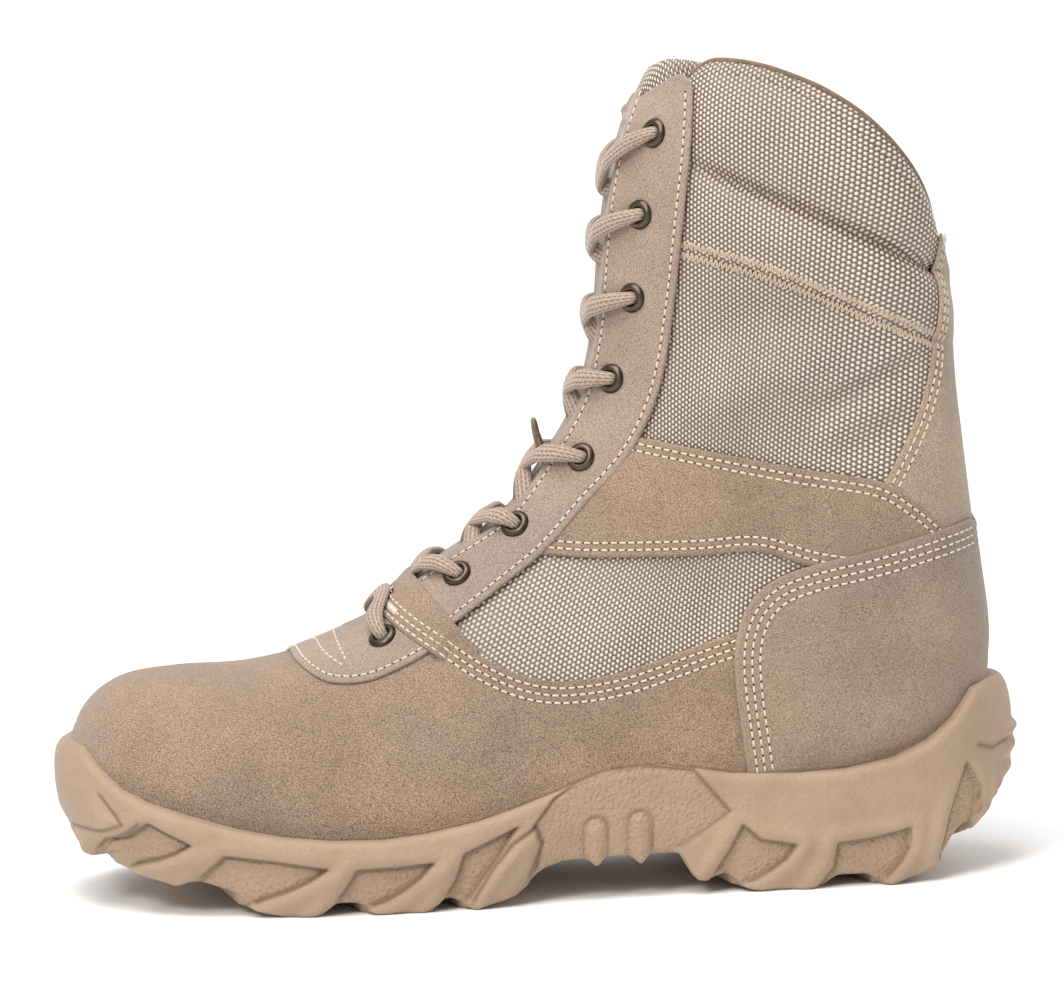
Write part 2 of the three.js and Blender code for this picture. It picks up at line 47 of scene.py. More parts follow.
# ---- Studio: camera, floor and lights --------------------------------------------------------
# The boot stands on a seamless pale floor, seen from its lateral side a little from behind, with
# a big soft light overhead and softer ones in front and behind.
eye_distance = 1100.0
eye_height = 206.0
look_height = 124.0
eye_turn = math.radians(4.0)
eye_roll = math.radians(1.5)
view_width = 340.916  # what the frame takes in, at the boot's distance


def unit(vectors):
    """The same vectors, each divided by its length."""
    return vectors / np.maximum(np.linalg.norm(vectors, axis=-1, keepdims=True), 1e-9)


eye = np.array([-eye_distance * math.sin(eye_turn), -eye_distance * math.cos(eye_turn), eye_height])
ahead = unit(np.array([0, 0, look_height]) - eye)
right = unit(np.cross(ahead, [0, 0, 1]))
up = np.cross(right, ahead)
rolled_right = right * math.cos(eye_roll) - up * math.sin(eye_roll)
rolled_up = right * math.sin(eye_roll) + up * math.cos(eye_roll)
camera_data = bpy.data.cameras.new("camera")
camera_data.sensor_width = 36.0
camera_data.lens = camera_data.sensor_width * eye_distance / view_width
camera = bpy.data.objects.new("camera", camera_data)
camera_turn = Matrix([list(column) for column in zip(rolled_right, rolled_up, -ahead)]).to_4x4()
camera.matrix_world = Matrix.Translation(Vector((eye + leg_middle) * MM)) @ camera_turn
bpy.context.scene.collection.objects.link(camera)
bpy.context.scene.camera = camera
bpy.context.scene.view_settings.view_transform = "Standard"


def shader(name, roughness, **sockets):
    """A new material and its Principled shader, with constant sockets set by name."""
    material = bpy.data.materials.new(name)
    material.use_nodes = True
    surface = material.node_tree.nodes["Principled BSDF"]
    surface.inputs["Roughness"].default_value = roughness
    for socket, value in sockets.items():
        surface.inputs[socket.replace("_", " ")].default_value = value
    return material, surface


def mesh_object(name, vertices, faces, material):
    """A smooth mesh from points in millimetres and faces' corners, with one material."""
    mesh = bpy.data.meshes.new(name)
    faces = np.asarray(faces, dtype=np.int32)
    mesh.vertices.add(len(vertices))
    mesh.vertices.foreach_set("co", (np.asarray(vertices) * MM).astype(np.float32).ravel())
    mesh.loops.add(faces.size)
    mesh.loops.foreach_set("vertex_index", faces.ravel())
    mesh.polygons.add(len(faces))
    mesh.polygons.foreach_set("loop_start", np.arange(len(faces), dtype=np.int32) * faces.shape[1])
    mesh.update(calc_edges=True)
    mesh.polygons.foreach_set("use_smooth", np.ones(len(faces), dtype=bool))
    mesh.materials.append(material)
    made = bpy.data.objects.new(name, mesh)
    bpy.context.scene.collection.objects.link(made)
    return made


def backdrop_sheet():
    """A floor that curves up behind: flat, a quarter circle, then upright, one profile carried
    sideways."""
    radius, half_width, front, back, height = 500.0, 3000.0, -2600.0, 1100.0, 2600.0
    bend = np.linspace(0, np.pi / 2, 24)
    run = np.concatenate([[front], back + radius * np.sin(bend), [back + radius]])
    rise = np.concatenate([[0.0], radius * (1 - np.cos(bend)), [height]])
    points = np.array([[x, y, z] for y, z in zip(run, rise) for x in (-half_width, half_width)])
    faces = [[2 * i, 2 * i + 1, 2 * i + 3, 2 * i + 2] for i in range(len(run) - 1)]
    return points, faces


paper, paper_surface = shader("seamless_paper", 0.9)
paper_surface.inputs["Base Color"].default_value = (0.93, 0.93, 0.93, 1)
backdrop = mesh_object("backdrop", *backdrop_sheet(), paper)


def soft_light(name, place, size, power):
    """A square area light at a place in metres, turned towards the middle of the boot."""
    data = bpy.data.lights.new(name, "AREA")
    data.shape = "SQUARE"
    data.size = size
    data.energy = power
    light = bpy.data.objects.new(name, data)
    turn = (Vector((0.0, 0.0, 0.12)) - Vector(place)).to_track_quat("-Z", "Y")
    light.matrix_world = Matrix.Translation(place) @ turn.to_matrix().to_4x4()
    bpy.context.scene.collection.objects.link(light)


soft_light("overhead", (-0.25, -0.35, 1.5), 1.0, 22.0)
soft_light("front_left", (-0.95, -1.35, 1.3), 0.6, 19.0)
soft_light("front_right", (1.5, -0.9, 0.7), 0.9, 2.0)
soft_light("behind", (1.1, 1.1, 1.1), 1.0, 9.0)
world = bpy.data.worlds.new("studio")
world.use_nodes = True
world.node_tree.nodes["Background"].inputs["Color"].default_value = (1, 1, 1, 1)
world.node_tree.nodes["Background"].inputs["Strength"].default_value = 0.4
bpy.context.scene.world = world

# ---- Upper: the last and the quarters in ballistic nylon ---------------------------------------
# The quarters and shaft are one sheet of coarse ballistic nylon, padded at the collar in two
# rolls. It is pulled over the last, so every piece of the upper is a surface over the last's form.
section_columns = ("frontX frontZ backX backZ lateral medial shift widest backPower frontPower "
                   "bow").split()
section_rows = np.array([
    [-150.5, 40, -150.5, 40, 0, 0, 6, 0.4, 2.2, 2.2, 0],
    [-146, 57.5, -143, 24, 24, 20, 6, 0.4, 2.4, 2.2, 0],
    [-134, 67.5, -131, 16, 39, 32, 6, 0.36, 2.6, 2.2, 0],
    [-116, 70.5, -110, 11, 48, 39, 5, 0.32, 2.8, 2.25, 0],
    [-94, 71.5, -84, 7, 52.5, 43.5, 3.5, 0.3, 3, 2.2, 0],
    [-74, 76, -55, 5, 53, 46.5, 2, 0.3, 3, 2.1, 0],
    [-53, 86, -22, 6, 50.5, 46, 0.5, 0.3, 3, 1.95, 0],
    [-32, 105, 15, 10, 46.5, 42, -0.5, 0.3, 2.9, 1.8, 0],
    [-12, 120.5, 55, 14, 42.5, 40, -1, 0.32, 2.8, 1.75, 0],
    [2, 138, 100, 17, 39.5, 39, 0, 0.34, 2.6, 1.8, 0],
    [13.5, 158, 136, 36, 38.5, 38.5, 0, 0.36, 2.5, 1.85, 0],
    [19.5, 179, 144, 70, 38, 38, 0, 0.4, 2.4, 1.95, 3],
    [21.5, 199, 141.5, 100, 39, 39, 0, 0.44, 2.3, 2, 9],
    [24.5, 218, 137.5, 133, 42, 42, 0, 0.47, 2.2, 2.1, 17],
    [29.5, 235, 133.5, 166, 45, 45, 0, 0.5, 2.15, 2.15, 24],
    [36, 250, 131.5, 199, 46, 46, 0, 0.5, 2.1, 2.15, 29],
])
top = len(section_rows) - 1
rows_per_station = 24
columns_per_side = 192
profile_steps = 192


def spline(p0, p1, p2, p3, t):
    """Catmull-Rom: the cubic from p1 to p2 whose slope at each is half the step between its
    neighbours, at share t."""
    return p1 + 0.5 * t * (p2 - p0 + t * (2 * p0 - 5 * p1 + 4 * p2 - p3 + t * (3 * (p1 - p2) + p3 - p0)))


def station_values(u):
    """Each section value at stations u, a spline between rows, mirrored through the toe tip."""
    table = dict(zip(section_columns, section_rows.T))
    values = {key: table[key] for key in section_columns[4:]}
    values["midX"] = (table["frontX"] + table["backX"]) / 2
    values["midZ"] = (table["frontZ"] + table["backZ"]) / 2
    values["halfX"] = (table["frontX"] - table["backX"]) / 2
    values["halfZ"] = (table["frontZ"] - table["backZ"]) / 2
    i = np.minimum(u.astype(int), top - 1)
    t = u - i
    blended = {}
    for key, column in values.items():
        mirrored = -1 if key in ("halfX", "halfZ", "lateral", "medial") else 1
        run = np.concatenate([[mirrored * column[1]], column, [2 * column[-1] - column[-2]]])
        blended[key] = spline(run[i], run[i + 1], run[i + 2], run[i + 3], t)
    return blended


def last_grid():
    """The last as a grid of points. A row is one section: two superellipse halves joined where it
    is widest, read off by arc length from the back on the lateral side (w = -1) over the front
    (0) to the back on the medial side (1)."""
    u = np.arange(top * rows_per_station + 1) / rows_per_station
    c = {key: value[:, None] for key, value in station_values(u).items()}
    angle = np.linspace(0, np.pi, profile_steps + 1)[None, :]
    back = angle <= np.pi / 2
    power = 2 / np.where(back, c["backPower"], c["frontPower"])
    reach = np.abs(np.cos(angle)) ** power
    along = np.where(back, c["widest"] * (1 - reach), c["widest"] + (1 - c["widest"]) * reach)
    across = np.abs(np.sin(angle)) ** power
    chord = 2 * np.hypot(c["halfX"], c["halfZ"])
    halves = []
    for side, width in ((-1, c["lateral"]), (1, c["medial"])):
        step = np.hypot(np.diff(along) * chord, np.diff(across) * width)
        length = np.concatenate([np.zeros((len(u), 1)), np.cumsum(step, 1)], 1)
        share = np.linspace(0, 1, columns_per_side + 1)
        target = share[None, :] * length[:, -1:]
        a = np.array([np.interp(t, l, v) for t, l, v in zip(target, length, along)]) * 2 - 1
        b = np.array([np.interp(t, l, v) for t, l, v in zip(target, length, across)])
        power_of_lift = np.where(a < 2 * c["widest"] - 1, 2, 1)
        lift = c["bow"] * b ** power_of_lift / np.maximum(chord, 1)
        points = np.stack([c["midX"] + a * c["halfX"] + 2 * lift * c["halfZ"],
                           c["shift"] + side * b * width,
                           c["midZ"] + a * c["halfZ"] - 2 * lift * c["halfX"]], -1)
        halves.append(points)
    return np.concatenate([halves[0], halves[1][:, -2::-1]], 1) + leg_middle


last_points = last_grid()
along_last = np.gradient(last_points, axis=0) * rows_per_station
across_last = (np.roll(last_points[:, :-1], -1, 1) - np.roll(last_points[:, :-1], 1, 1)) / 2
across_last = np.concatenate([across_last, across_last[:, :1]], 1) * columns_per_side
last_normals = unit(np.cross(along_last, across_last))


def sample(field, uw):
    """A grid's values at places uw on the last, blended between the four nearest points. Past the
    collar the form runs straight on."""
    u = np.clip(uw[..., 0], 0, top) * rows_per_station
    w = np.mod(uw[..., 1] + 1, 2) * columns_per_side
    i = np.minimum(u.astype(int), field.shape[0] - 2)
    j = np.minimum(w.astype(int), field.shape[1] - 2)
    a, b = (u - i)[..., None], (w - j)[..., None]
    return ((1 - a) * ((1 - b) * field[i, j] + b * field[i, j + 1])
            + a * ((1 - b) * field[i + 1, j] + b * field[i + 1, j + 1]))


collar_up = np.array([0.471, 0.0, 0.882])
station_spacing = 18.0


def on_last(uw, lift):
    """Points lifted off the last along its normal by some millimetres."""
    beyond = np.maximum(uw[..., 0] - top, 0)[..., None] * station_spacing * collar_up
    return sample(last_points, uw) + sample(last_normals, uw) * np.asarray(lift)[..., None] + beyond


def smooth(a, b, x):
    """Hermite step from 0 at a to 1 at b."""
    t = np.clip((x - a) / (b - a), 0, 1)
    return t * t * (3 - 2 * t)


def grid_faces(rows, columns, wrap=False):
    """Quads between the rows and columns of a grid, and round to the first column if it wraps."""
    across = columns if wrap else columns - 1
    i, j = np.meshgrid(np.arange(rows - 1), np.arange(across), indexing="ij")
    k = (j + 1) % columns
    return np.stack([i * columns + j, i * columns + k, (i + 1) * columns + k,
                     (i + 1) * columns + j], -1).reshape(-1, 4)


front_line = np.array([[-152, 50], [-82, 73.5], [-45, 94], [-8.8, 120.4], [14.7, 158.3], [22.5, 185],
                       [29.5, 233], [36, 262]])
back_line = np.array([[150, 50], [141.9, 91.2], [134.3, 166], [132, 200], [128, 262]])


def unrolled(points):
    """The cloth laid flat, in millimetres: height, and the way round an ellipse through the front
    and back of the leg at that height, measured from the widest point of either side."""
    x, y, z = (points - leg_middle).T
    front = np.interp(z, front_line[:, 1], front_line[:, 0])
    back = np.interp(z, back_line[:, 1], back_line[:, 0])
    half_length, half_width = (back - front) / 2, 42.0
    angle = np.arctan2((x - (front + back) / 2) / half_length, np.abs(y) / half_width)
    steps = (np.arange(24) + 0.5)[:, None] / 24
    speed = np.hypot(half_length * np.cos(angle * steps), half_width * np.sin(angle * steps))
    return np.stack([(front + back) / 2 + angle * speed.mean(0), z], 1)


def set_uv(made, uv):
    """A UV map from one pair for each vertex."""
    layer = made.data.uv_layers.new(name="cloth")
    corners = np.empty(len(made.data.loops), dtype=np.int32)
    made.data.loops.foreach_get("vertex_index", corners)
    layer.data.foreach_set("uv", np.asarray(uv)[corners].astype(np.float32).ravel())


def wall(made, thickness):
    """Gives a sheet its thickness, inwards from its outer face."""
    solid = made.modifiers.new("wall", "SOLIDIFY")
    solid.thickness = thickness * MM
    solid.offset = -1


def crease_height(x):
    """The fold between the two collar rolls: a straight line falling towards the heel."""
    return 226.8 - 0.45 * (x - 50.6)


def quilt_height(x):
    """The seam under the lower roll: a straight line falling towards the heel."""
    return 200.8 - 0.38 * (x - 46.3)


def padding(points, fold_depth=2.4):
    """How far the collar's foam lifts the cloth: a half sine wave in each roll, with a sharp
    trough at the fold and a soft one at the seam."""
    x, z = points[..., 0] - leg_middle[0], points[..., 2]
    behind_facing = smooth(46, 59, x)
    lower = np.clip((z - quilt_height(x)) / (crease_height(x) - quilt_height(x)), 0, 1)
    upper = np.clip((z - crease_height(x)) / 36, 0, 1)
    fold = np.exp(-((z - crease_height(x)) / 1.9) ** 2)
    seam = np.exp(-((z - quilt_height(x)) / 2.2) ** 2)
    rolls = 3.2 * np.sin(np.pi * lower) ** 0.7 + 4.4 * np.sin(np.pi * upper) ** 0.5
    drawn_in = 1.5 * smooth(-2, 9, z - quilt_height(x)) + 1.3 * smooth(-6, 8, z - crease_height(x))
    fold *= 1 - 0.5 * smooth(108, 124, x)
    return behind_facing * (rolls - drawn_in - fold_depth * fold - 0.9 * seam)


# Creases, listed one by one: the side, the line it follows in side view, its half width, and its
# height, which is negative for a trough.
creases = [
    (-1, [[44, 147], [68, 158], [92, 166]], 9.0, 3.0),
    (-1, [[46, 171], [72, 180], [100, 179]], 7.0, -1.8),
    (-1, [[84, 149], [103, 158.5], [122, 166]], 3.0, -1.3),
    (-1, [[88, 154], [106, 163.5], [121, 171]], 3.0, 1.1),
    (-1, [[92, 135.5], [104, 141], [116, 145]], 2.9, -1.2),
    (-1, [[84, 139.5], [98, 147.5], [117, 153.5]], 3.4, 1.2),
    (-1, [[76, 136], [83, 143], [88, 150]], 3.4, -0.5),
    (-1, [[58, 101], [52, 90], [49, 76]], 5.5, -1.2),
    (-1, [[20, 100], [24, 88], [22, 74]], 9.0, 1.5),
    (-1, [[-2, 92], [6, 84], [10, 74]], 3.4, -0.5),
    (-1, [[20, 134], [44, 121], [70, 117]], 7.0, 0.8),
    (-1, [[58, 128], [66, 118], [70, 108]], 4.0, -0.6),
    (-1, [[-108, 66], [-104, 57], [-108, 44]], 5.5, -0.6),
    (-1, [[-90, 66], [-84, 54], [-86, 40]], 8.0, 0.6),
    (-1, [[-62, 62], [-56, 50], [-58, 36]], 6.0, -0.55),
    (-1, [[-40, 66], [-32, 52], [-30, 38]], 8.0, 0.7),
    (-1, [[-18, 60], [-13, 48], [-14, 38]], 5.0, -0.65),
    (-1, [[28, 62], [36, 54], [40, 47]], 6.0, -0.6),
    (-1, [[92, 92], [98, 74], [96, 56]], 9.0, -0.7),
    (1, [[46, 150], [72, 160], [98, 163]], 8.0, 2.6),
    (1, [[50, 174], [76, 181], [104, 176]], 6.5, -1.6),
    (1, [[80, 146], [100, 154], [120, 159]], 3.0, -1.2),
    (1, [[94, 139], [106, 145], [117, 151]], 3.0, 1.1),
    (1, [[62, 100], [55, 88], [53, 77]], 5.0, -0.7),
    (1, [[16, 101], [21, 88], [20, 75]], 8.0, 0.8),
    (1, [[26, 132], [50, 122], [74, 116]], 6.0, 0.7),
    (1, [[-104, 65], [-101, 55], [-105, 44]], 6.0, -0.55),
    (1, [[-70, 64], [-66, 52], [-68, 38]], 6.5, -0.5),
    (1, [[-46, 66], [-40, 53], [-38, 38]], 7.0, 0.7),
    (1, [[-24, 60], [-18, 49], [-20, 37]], 5.0, -0.6),
    (1, [[96, 90], [101, 73], [98, 57]], 8.0, -0.6),
]


def segment_distance(x, z, x0, z0, x1, z1):
    """Distance from side-view points to a straight piece of a line."""
    dx, dz = x1 - x0, z1 - z0
    t = np.clip(((x - x0) * dx + (z - z0) * dz) / (dx * dx + dz * dz), 0, 1)
    return np.hypot(x - x0 - t * dx, z - z0 - t * dz)


def line_distance(x, z, line):
    """Distance from side-view points to a line of straight pieces."""
    return np.min([segment_distance(x, z, *a, *b) for a, b in zip(line[:-1], line[1:])], 0)


def folds(points):
    """The lift of the creases: each a soft bell across its line, height * exp(-(d / width)^2),
    that dies away over the last third of its length."""
    x, y, z = np.moveaxis(points - leg_middle, -1, 0)
    lift = np.zeros(x.shape)
    for side, line, width, height in creases:
        (x0, z0), (x1, z1) = line[0], line[-1]
        gap = line_distance(x, z, line)
        along = ((x - x0) * (x1 - x0) + (z - z0) * (z1 - z0)) / ((x1 - x0) ** 2 + (z1 - z0) ** 2)
        ends = smooth(-0.15, 0.3, along) * smooth(1.15, 0.7, along)
        lift += height * ends * np.exp(-(gap / width) ** 2) * smooth(2, 14, side * y)
    return lift


def over_cloth(lift):
    """A lift over the nylon, with its foam and creases, as a function of place."""
    return lambda uw: lift + padding(sample(last_points, uw)) + folds(sample(last_points, uw))


roll_start = top - 0.3
corner_drop = 0.85
corner_width = 0.17
rear_drop = 0.17


def throat_share(u):
    """How far round from the front the throat's edge lies, so that the opening keeps its width."""
    columns = np.arange(columns_per_side + 1)
    front = np.maximum.accumulate(last_points[:, columns_per_side:, 1] - leg_middle[1], 1)
    edge = np.array([np.interp(10.0, row, columns / columns_per_side) for row in front])
    return np.interp(u, np.arange(len(edge)) / rows_per_station, edge)


def quarter_grid(u, columns):
    """Places uw over the quarters: rows at stations u, columns from the throat's lateral edge
    round the heel to its medial edge. Towards the throat the rows sink, so that the collar's
    front corners end behind the facing."""
    edge = throat_share(u)[:, None]
    share = np.linspace(0, 1, columns)[None, :]
    w = 2 - edge - share * (2 - 2 * edge)
    from_edge = 1 - np.abs(w - 1) - edge
    sunk = corner_drop * smooth(corner_width, 0.0, from_edge) * smooth(13, roll_start, u)[:, None]
    rear = smooth(0.3, 0.6, from_edge) * smooth(1.0, 0.8, from_edge)
    sunk += rear_drop * rear * smooth(13.2, roll_start, u)[:, None]
    return np.stack([u[:, None] - sunk, w], -1)


def tree_of(material):
    """A material's nodes and links."""
    return material.node_tree.nodes, material.node_tree.links


def paint(material, surface, *colours):
    """Gives a shader its base colour: the product of one or more colour sockets."""
    colour = colours[0]
    for factor in colours[1:]:
        colour = mixed(material, 1.0, colour, factor, "MULTIPLY")
    material.node_tree.links.new(colour, surface.inputs["Base Color"])


def add_bump(material, surface, height, depth, previous=None):
    """Bump of some millimetres' depth from a height socket, on top of an earlier bump."""
    nodes, links = tree_of(material)
    bump = nodes.new("ShaderNodeBump")
    bump.inputs["Distance"].default_value = depth * MM
    links.new(height, bump.inputs["Height"])
    if previous:
        links.new(previous, bump.inputs["Normal"])
    links.new(bump.outputs["Normal"], surface.inputs["Normal"])
    return bump.outputs["Normal"]


def texture(material, kind, output, feature=None, **sockets):
    """An output of a texture over object coordinates, with constant sockets set by name. A
    texture's scale is in waves a metre."""
    nodes, links = tree_of(material)
    node = nodes.new(f"ShaderNodeTex{kind}")
    if feature:
        node.feature = feature
    for socket, value in sockets.items():
        node.inputs[socket].default_value = value
    links.new(nodes.new("ShaderNodeTexCoord").outputs["Object"], node.inputs["Vector"])
    return node.outputs[output]


def noise(material, scale, detail=2.0, roughness=0.5):
    """Noise over object coordinates, its size in waves a metre."""
    return texture(material, "Noise", "Fac", Scale=scale, Detail=detail, Roughness=roughness)


def clouded(material, scale, detail, stops, roughness=0.5):
    """Colours spread over a surface by noise: stops are pairs of noise value and colour."""
    return ramp(material, noise(material, scale, detail, roughness), stops)


def painted_value(material, name):
    """A named number that the mesh carries on its vertices."""
    node = material.node_tree.nodes.new("ShaderNodeAttribute")
    node.attribute_name = name
    return node.outputs["Fac"]


def ramp(material, value, stops):
    """A colour ramp: stops are pairs of place and colour."""
    nodes, links = tree_of(material)
    node = nodes.new("ShaderNodeValToRGB")
    while len(node.color_ramp.elements) < len(stops):
        node.color_ramp.elements.new(0.5)
    for element, (place, colour) in zip(node.color_ramp.elements, stops):
        element.position = place
        element.color = (*colour, 1)
    links.new(value, node.inputs["Fac"])
    return node.outputs["Color"]


def mixed(material, factor, first, second, mode="MIX"):
    """Two colours blended by a factor, each a socket, a colour or a number."""
    nodes, links = tree_of(material)
    node = nodes.new("ShaderNodeMix")
    node.data_type = "RGBA"
    node.blend_type = mode
    for socket, value in zip((node.inputs[0], node.inputs[6], node.inputs[7]), (factor, first, second)):
        if isinstance(value, bpy.types.NodeSocket):
            links.new(value, socket)
        elif isinstance(value, tuple):
            socket.default_value = (*value, 1)
        else:
            socket.default_value = value
    return node.outputs[2]


def math_node(material, operation, *values):
    """One arithmetic step on sockets or numbers."""
    nodes, links = tree_of(material)
    node = nodes.new("ShaderNodeMath")
    node.operation = operation
    for socket, value in zip(node.inputs, values):
        if isinstance(value, bpy.types.NodeSocket):
            links.new(value, socket)
        else:
            socket.default_value = value
    return node.outputs[0]


bead_period = 1.41
bead_turn = math.radians(56)


def bead_weave(material):
    """The height of a ballistic weave: three cosine waves at 60 degrees, which make rows of
    staggered beads. It follows the UV map, in millimetres."""
    nodes, links = tree_of(material)
    uv = nodes.new("ShaderNodeUVMap")
    uv.uv_map = "cloth"
    waves = []
    for k in range(3):
        angle = bead_turn + k * math.pi / 3
        dot = nodes.new("ShaderNodeVectorMath")
        dot.operation = "DOT_PRODUCT"
        links.new(uv.outputs["UV"], dot.inputs[0])
        size = 2 * math.pi / bead_period
        dot.inputs[1].default_value = (size * math.cos(angle), size * math.sin(angle), 0)
        waves.append(math_node(material, "COSINE", dot.outputs["Value"]))
    total = math_node(material, "ADD", math_node(material, "ADD", waves[0], waves[1]), waves[2])
    return math_node(material, "MULTIPLY_ADD", total, 1 / 4.5, 1 / 3)


def ballistic_nylon(name, light, dark):
    """Shiny round beads of yarn, with the gaps between them painted near-black as shade, and slow random
    changes of tone.
    """
    material, surface = shader(name, 0.33, Specular_IOR_Level=1.0)
    beads = bead_weave(material)
    between_beads = tuple(0.5 * (a + b) for a, b in zip(light, dark))
    # The weave's height picks the colour: the yarn's own tone on the bead crowns, falling to a
    # near-black painted shade in the gaps between the beads.
    cloth = ramp(material, beads, [(0.08, dark), (0.42, between_beads), (0.85, light)])
    slow = clouded(material, 38, 3, [(0.3, (0.86, 0.86, 0.86)), (0.7, (1.06, 1.05, 1.04))])
    paint(material, surface, cloth, slow)
    fibres = add_bump(material, surface, noise(material, 2600, 2), 0.12)
    add_bump(material, surface, beads, 0.55, fibres)
    return material


def every_pair(first, second):
    """A grid of every number of one list with every number of another."""
    return np.stack(np.meshgrid(first, second, indexing="ij"), -1)


def side_view(uw):
    """Where places on the last are seen from the side: x from the leg's middle, and z."""
    return sample(last_points, uw)[..., [0, 2]] - leg_middle[[0, 2]]


def places(points, side):
    """Where side-view points lie on one side of the last: the nearest of a coarse grid of places,
    then of finer and finer ones about it."""
    target = np.asarray(points, float)[:, None]
    tried = every_pair(np.linspace(0.1, top, 90), side * np.linspace(0, 1, 49)).reshape(1, -1, 2)
    offsets = every_pair(np.linspace(-1, 1, 7), np.linspace(-1, 1, 7)).reshape(1, -1, 2)
    reach = np.array([0.12, 0.016])
    found = tried[0, np.argmin(((target - side_view(tried)) ** 2).sum(-1), 1)]
    for _ in range(6):
        tried = found[:, None] + offsets * reach
        tried[..., 0] = np.clip(tried[..., 0], 0.05, top)
        tried[..., 1] = np.clip(tried[..., 1] * side, 0, 1) * side
        nearest = np.argmin(((target - side_view(tried)) ** 2).sum(-1), 1)
        found = tried[np.arange(len(found)), nearest]
        reach = reach / 2.5
    return found


def distance_to(points, line):
    """How far each point is from a line of close points, in millimetres."""
    best = np.empty(len(points))
    for k in range(0, len(points), 2000):
        gap = points[k:k + 2000, None] - line[None]
        best[k:k + 2000] = np.sqrt((gap ** 2).sum(-1).min(1))
    return best


eyelet_places = [[-49, 80.5], [-25, 99.5], [-6, 114.5], [15.5, 135.5], [26, 160.5], [33, 186],
                 [36, 212], [41, 237]]
eyelet_uw = {side: places(eyelet_places, side) for side in (-1, 1)}
eyelet_centres = np.concatenate([sample(last_points, eyelet_uw[side]) for side in (-1, 1)])
punch_radius = 2.9


def punched(faces, grid):
    """A sheet's faces without those over the eyelets' holes."""
    middles = sample(last_points, grid).reshape(-1, 3)[faces].mean(1)
    return faces[distance_to(middles, eyelet_centres) > punch_radius]


# The sole's inner floor in side view.
floor_line = np.array([
    [-160, 38], [-146, 33], [-134, 25.5], [-122, 20], [-110, 16.5], [-95, 13.6], [-84, 12.5],
    [-55, 12], [-25, 14], [10, 18], [45, 22], [80, 24], [160, 24]])


def line_at(line, x, column=1):
    """A table's value at x, straight between its rows."""
    return np.interp(x, line[:, 0], line[:, column])


def on_floor(points):
    """The same points, raised to the sole's inner floor where they would lie below it."""
    floor = line_at(floor_line, points[..., 0])
    return np.concatenate([points[..., :2], np.maximum(points[..., 2], floor)[..., None]], -1)


# The second colour is the painted shade of the weave's gaps, not a colour of the yarn.
nylon = ballistic_nylon("ballistic_nylon", (0.93, 0.76, 0.595), (0.075, 0.047, 0.03))
quarter_u = np.linspace(5.62, roll_start, 228)
quarter_places = quarter_grid(quarter_u, 214)
quarter_points = on_floor(on_last(quarter_places, over_cloth(0.0)(quarter_places)))
quarters = mesh_object("quarters", quarter_points.reshape(-1, 3),
                       punched(grid_faces(*quarter_places.shape[:2]), quarter_places), nylon)
set_uv(quarters, unrolled(sample(last_points, quarter_places).reshape(-1, 3)))
wall(quarters, 1.2)
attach(quarters, "root")
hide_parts("upper")


# ---- Vamp: suede over the toes and along the sole ------------------------------------------------
# One piece of thick rough-out suede from the toe to the heel, cut to a scoop below the ankle. Its
# top edge is sewn over the nylon with three rows, and its lower edge runs down inside the sole.
lip_line = np.array([
    [-160, 51], [-148, 50], [-141, 43.5], [-134, 38], [-126, 34.5], [-112, 30.5], [-98, 26.8],
    [-84, 24.2], [-68, 22.6], [-52, 22.4], [-38, 23.8], [-22, 26.8], [-10, 30.4], [3, 35],
    [16, 40], [25, 41.5], [35, 41.5], [47, 39.6], [57, 37.6], [78, 36.6], [94, 37], [110, 39.7],
    [122, 44.6], [130, 50.6], [138, 60], [146, 61.5], [160, 61.5]])
vamp_top = [[-46.9, 96.2], [-40, 89.9], [-32.7, 84.6], [-25.5, 80.2], [-19.6, 76.2], [-9.3, 71],
            [0.9, 68.4], [11.2, 68.4], [21.6, 69.8], [31.9, 72.4], [42.2, 75.6], [52.4, 78.8],
            [68, 83.5]]
under_lip = 5.0


def splined(points, steps):
    """A spline through rows of values, with some steps between each pair."""
    run = np.concatenate([[2 * points[0] - points[1]], points, [2 * points[-1] - points[-2]]])
    t = np.linspace(0, 1, steps, endpoint=False)[None, :, None]
    line = spline(*(run[k:len(run) - 3 + k, None] for k in range(4)), t)
    return np.concatenate([line.reshape(-1, points.shape[1]), points[-1:]])


def run_length(points):
    """The length of the way from the first row of points to each row."""
    steps = np.linalg.norm(np.diff(points, axis=0), axis=-1)
    return np.concatenate([np.zeros_like(steps[:1]), np.cumsum(steps, 0)])


def even(line, step, measure=None):
    """The same line with its points an even distance apart, measured on another line if given."""
    length = run_length(line if measure is None else measure)
    at = np.linspace(0, length[-1], max(2, int(round(length[-1] / step)) + 1))
    return np.stack([np.interp(at, length, column) for column in line.T], 1)


def paced(line, step):
    """The same line of places, an even distance apart over the last."""
    return even(line, step, sample(last_points, line))


def drawn(points, side):
    """Places along a smooth line through side-view points, on one side of the last."""
    return places(even(splined(np.asarray(points, float), 16), 1.5), side)


def behind(uw):
    """The same places counted so that they run on through the back of the heel."""
    return np.stack([uw[:, 0], np.mod(uw[:, 1], 2)], 1)


def along_lip(x_from, x_to, side):
    """Places along the sole's upper edge, a little under it, on one side."""
    x = np.linspace(x_from, x_to, 60)
    return places(np.stack([x, line_at(lip_line, x) - under_lip], 1), side)


def stepped(uw, move):
    """Places moved by a small vector over the last, through its two tangents."""
    tangent_u, tangent_w = sample(along_last, uw), sample(across_last, uw)
    a, b, c = ((p * q).sum(-1) for p, q in ((tangent_u, tangent_u), (tangent_u, tangent_w),
                                            (tangent_w, tangent_w)))
    d, e = (tangent_u * move).sum(-1), (tangent_w * move).sum(-1)
    scale = a * c - b * b
    return uw + np.stack([(c * d - b * e) / scale, (a * e - b * d) / scale], -1)


def loop_run(points):
    """The direction of a closed line at each point, from its neighbours."""
    return unit(np.roll(points, -1, 0) - np.roll(points, 1, 0))


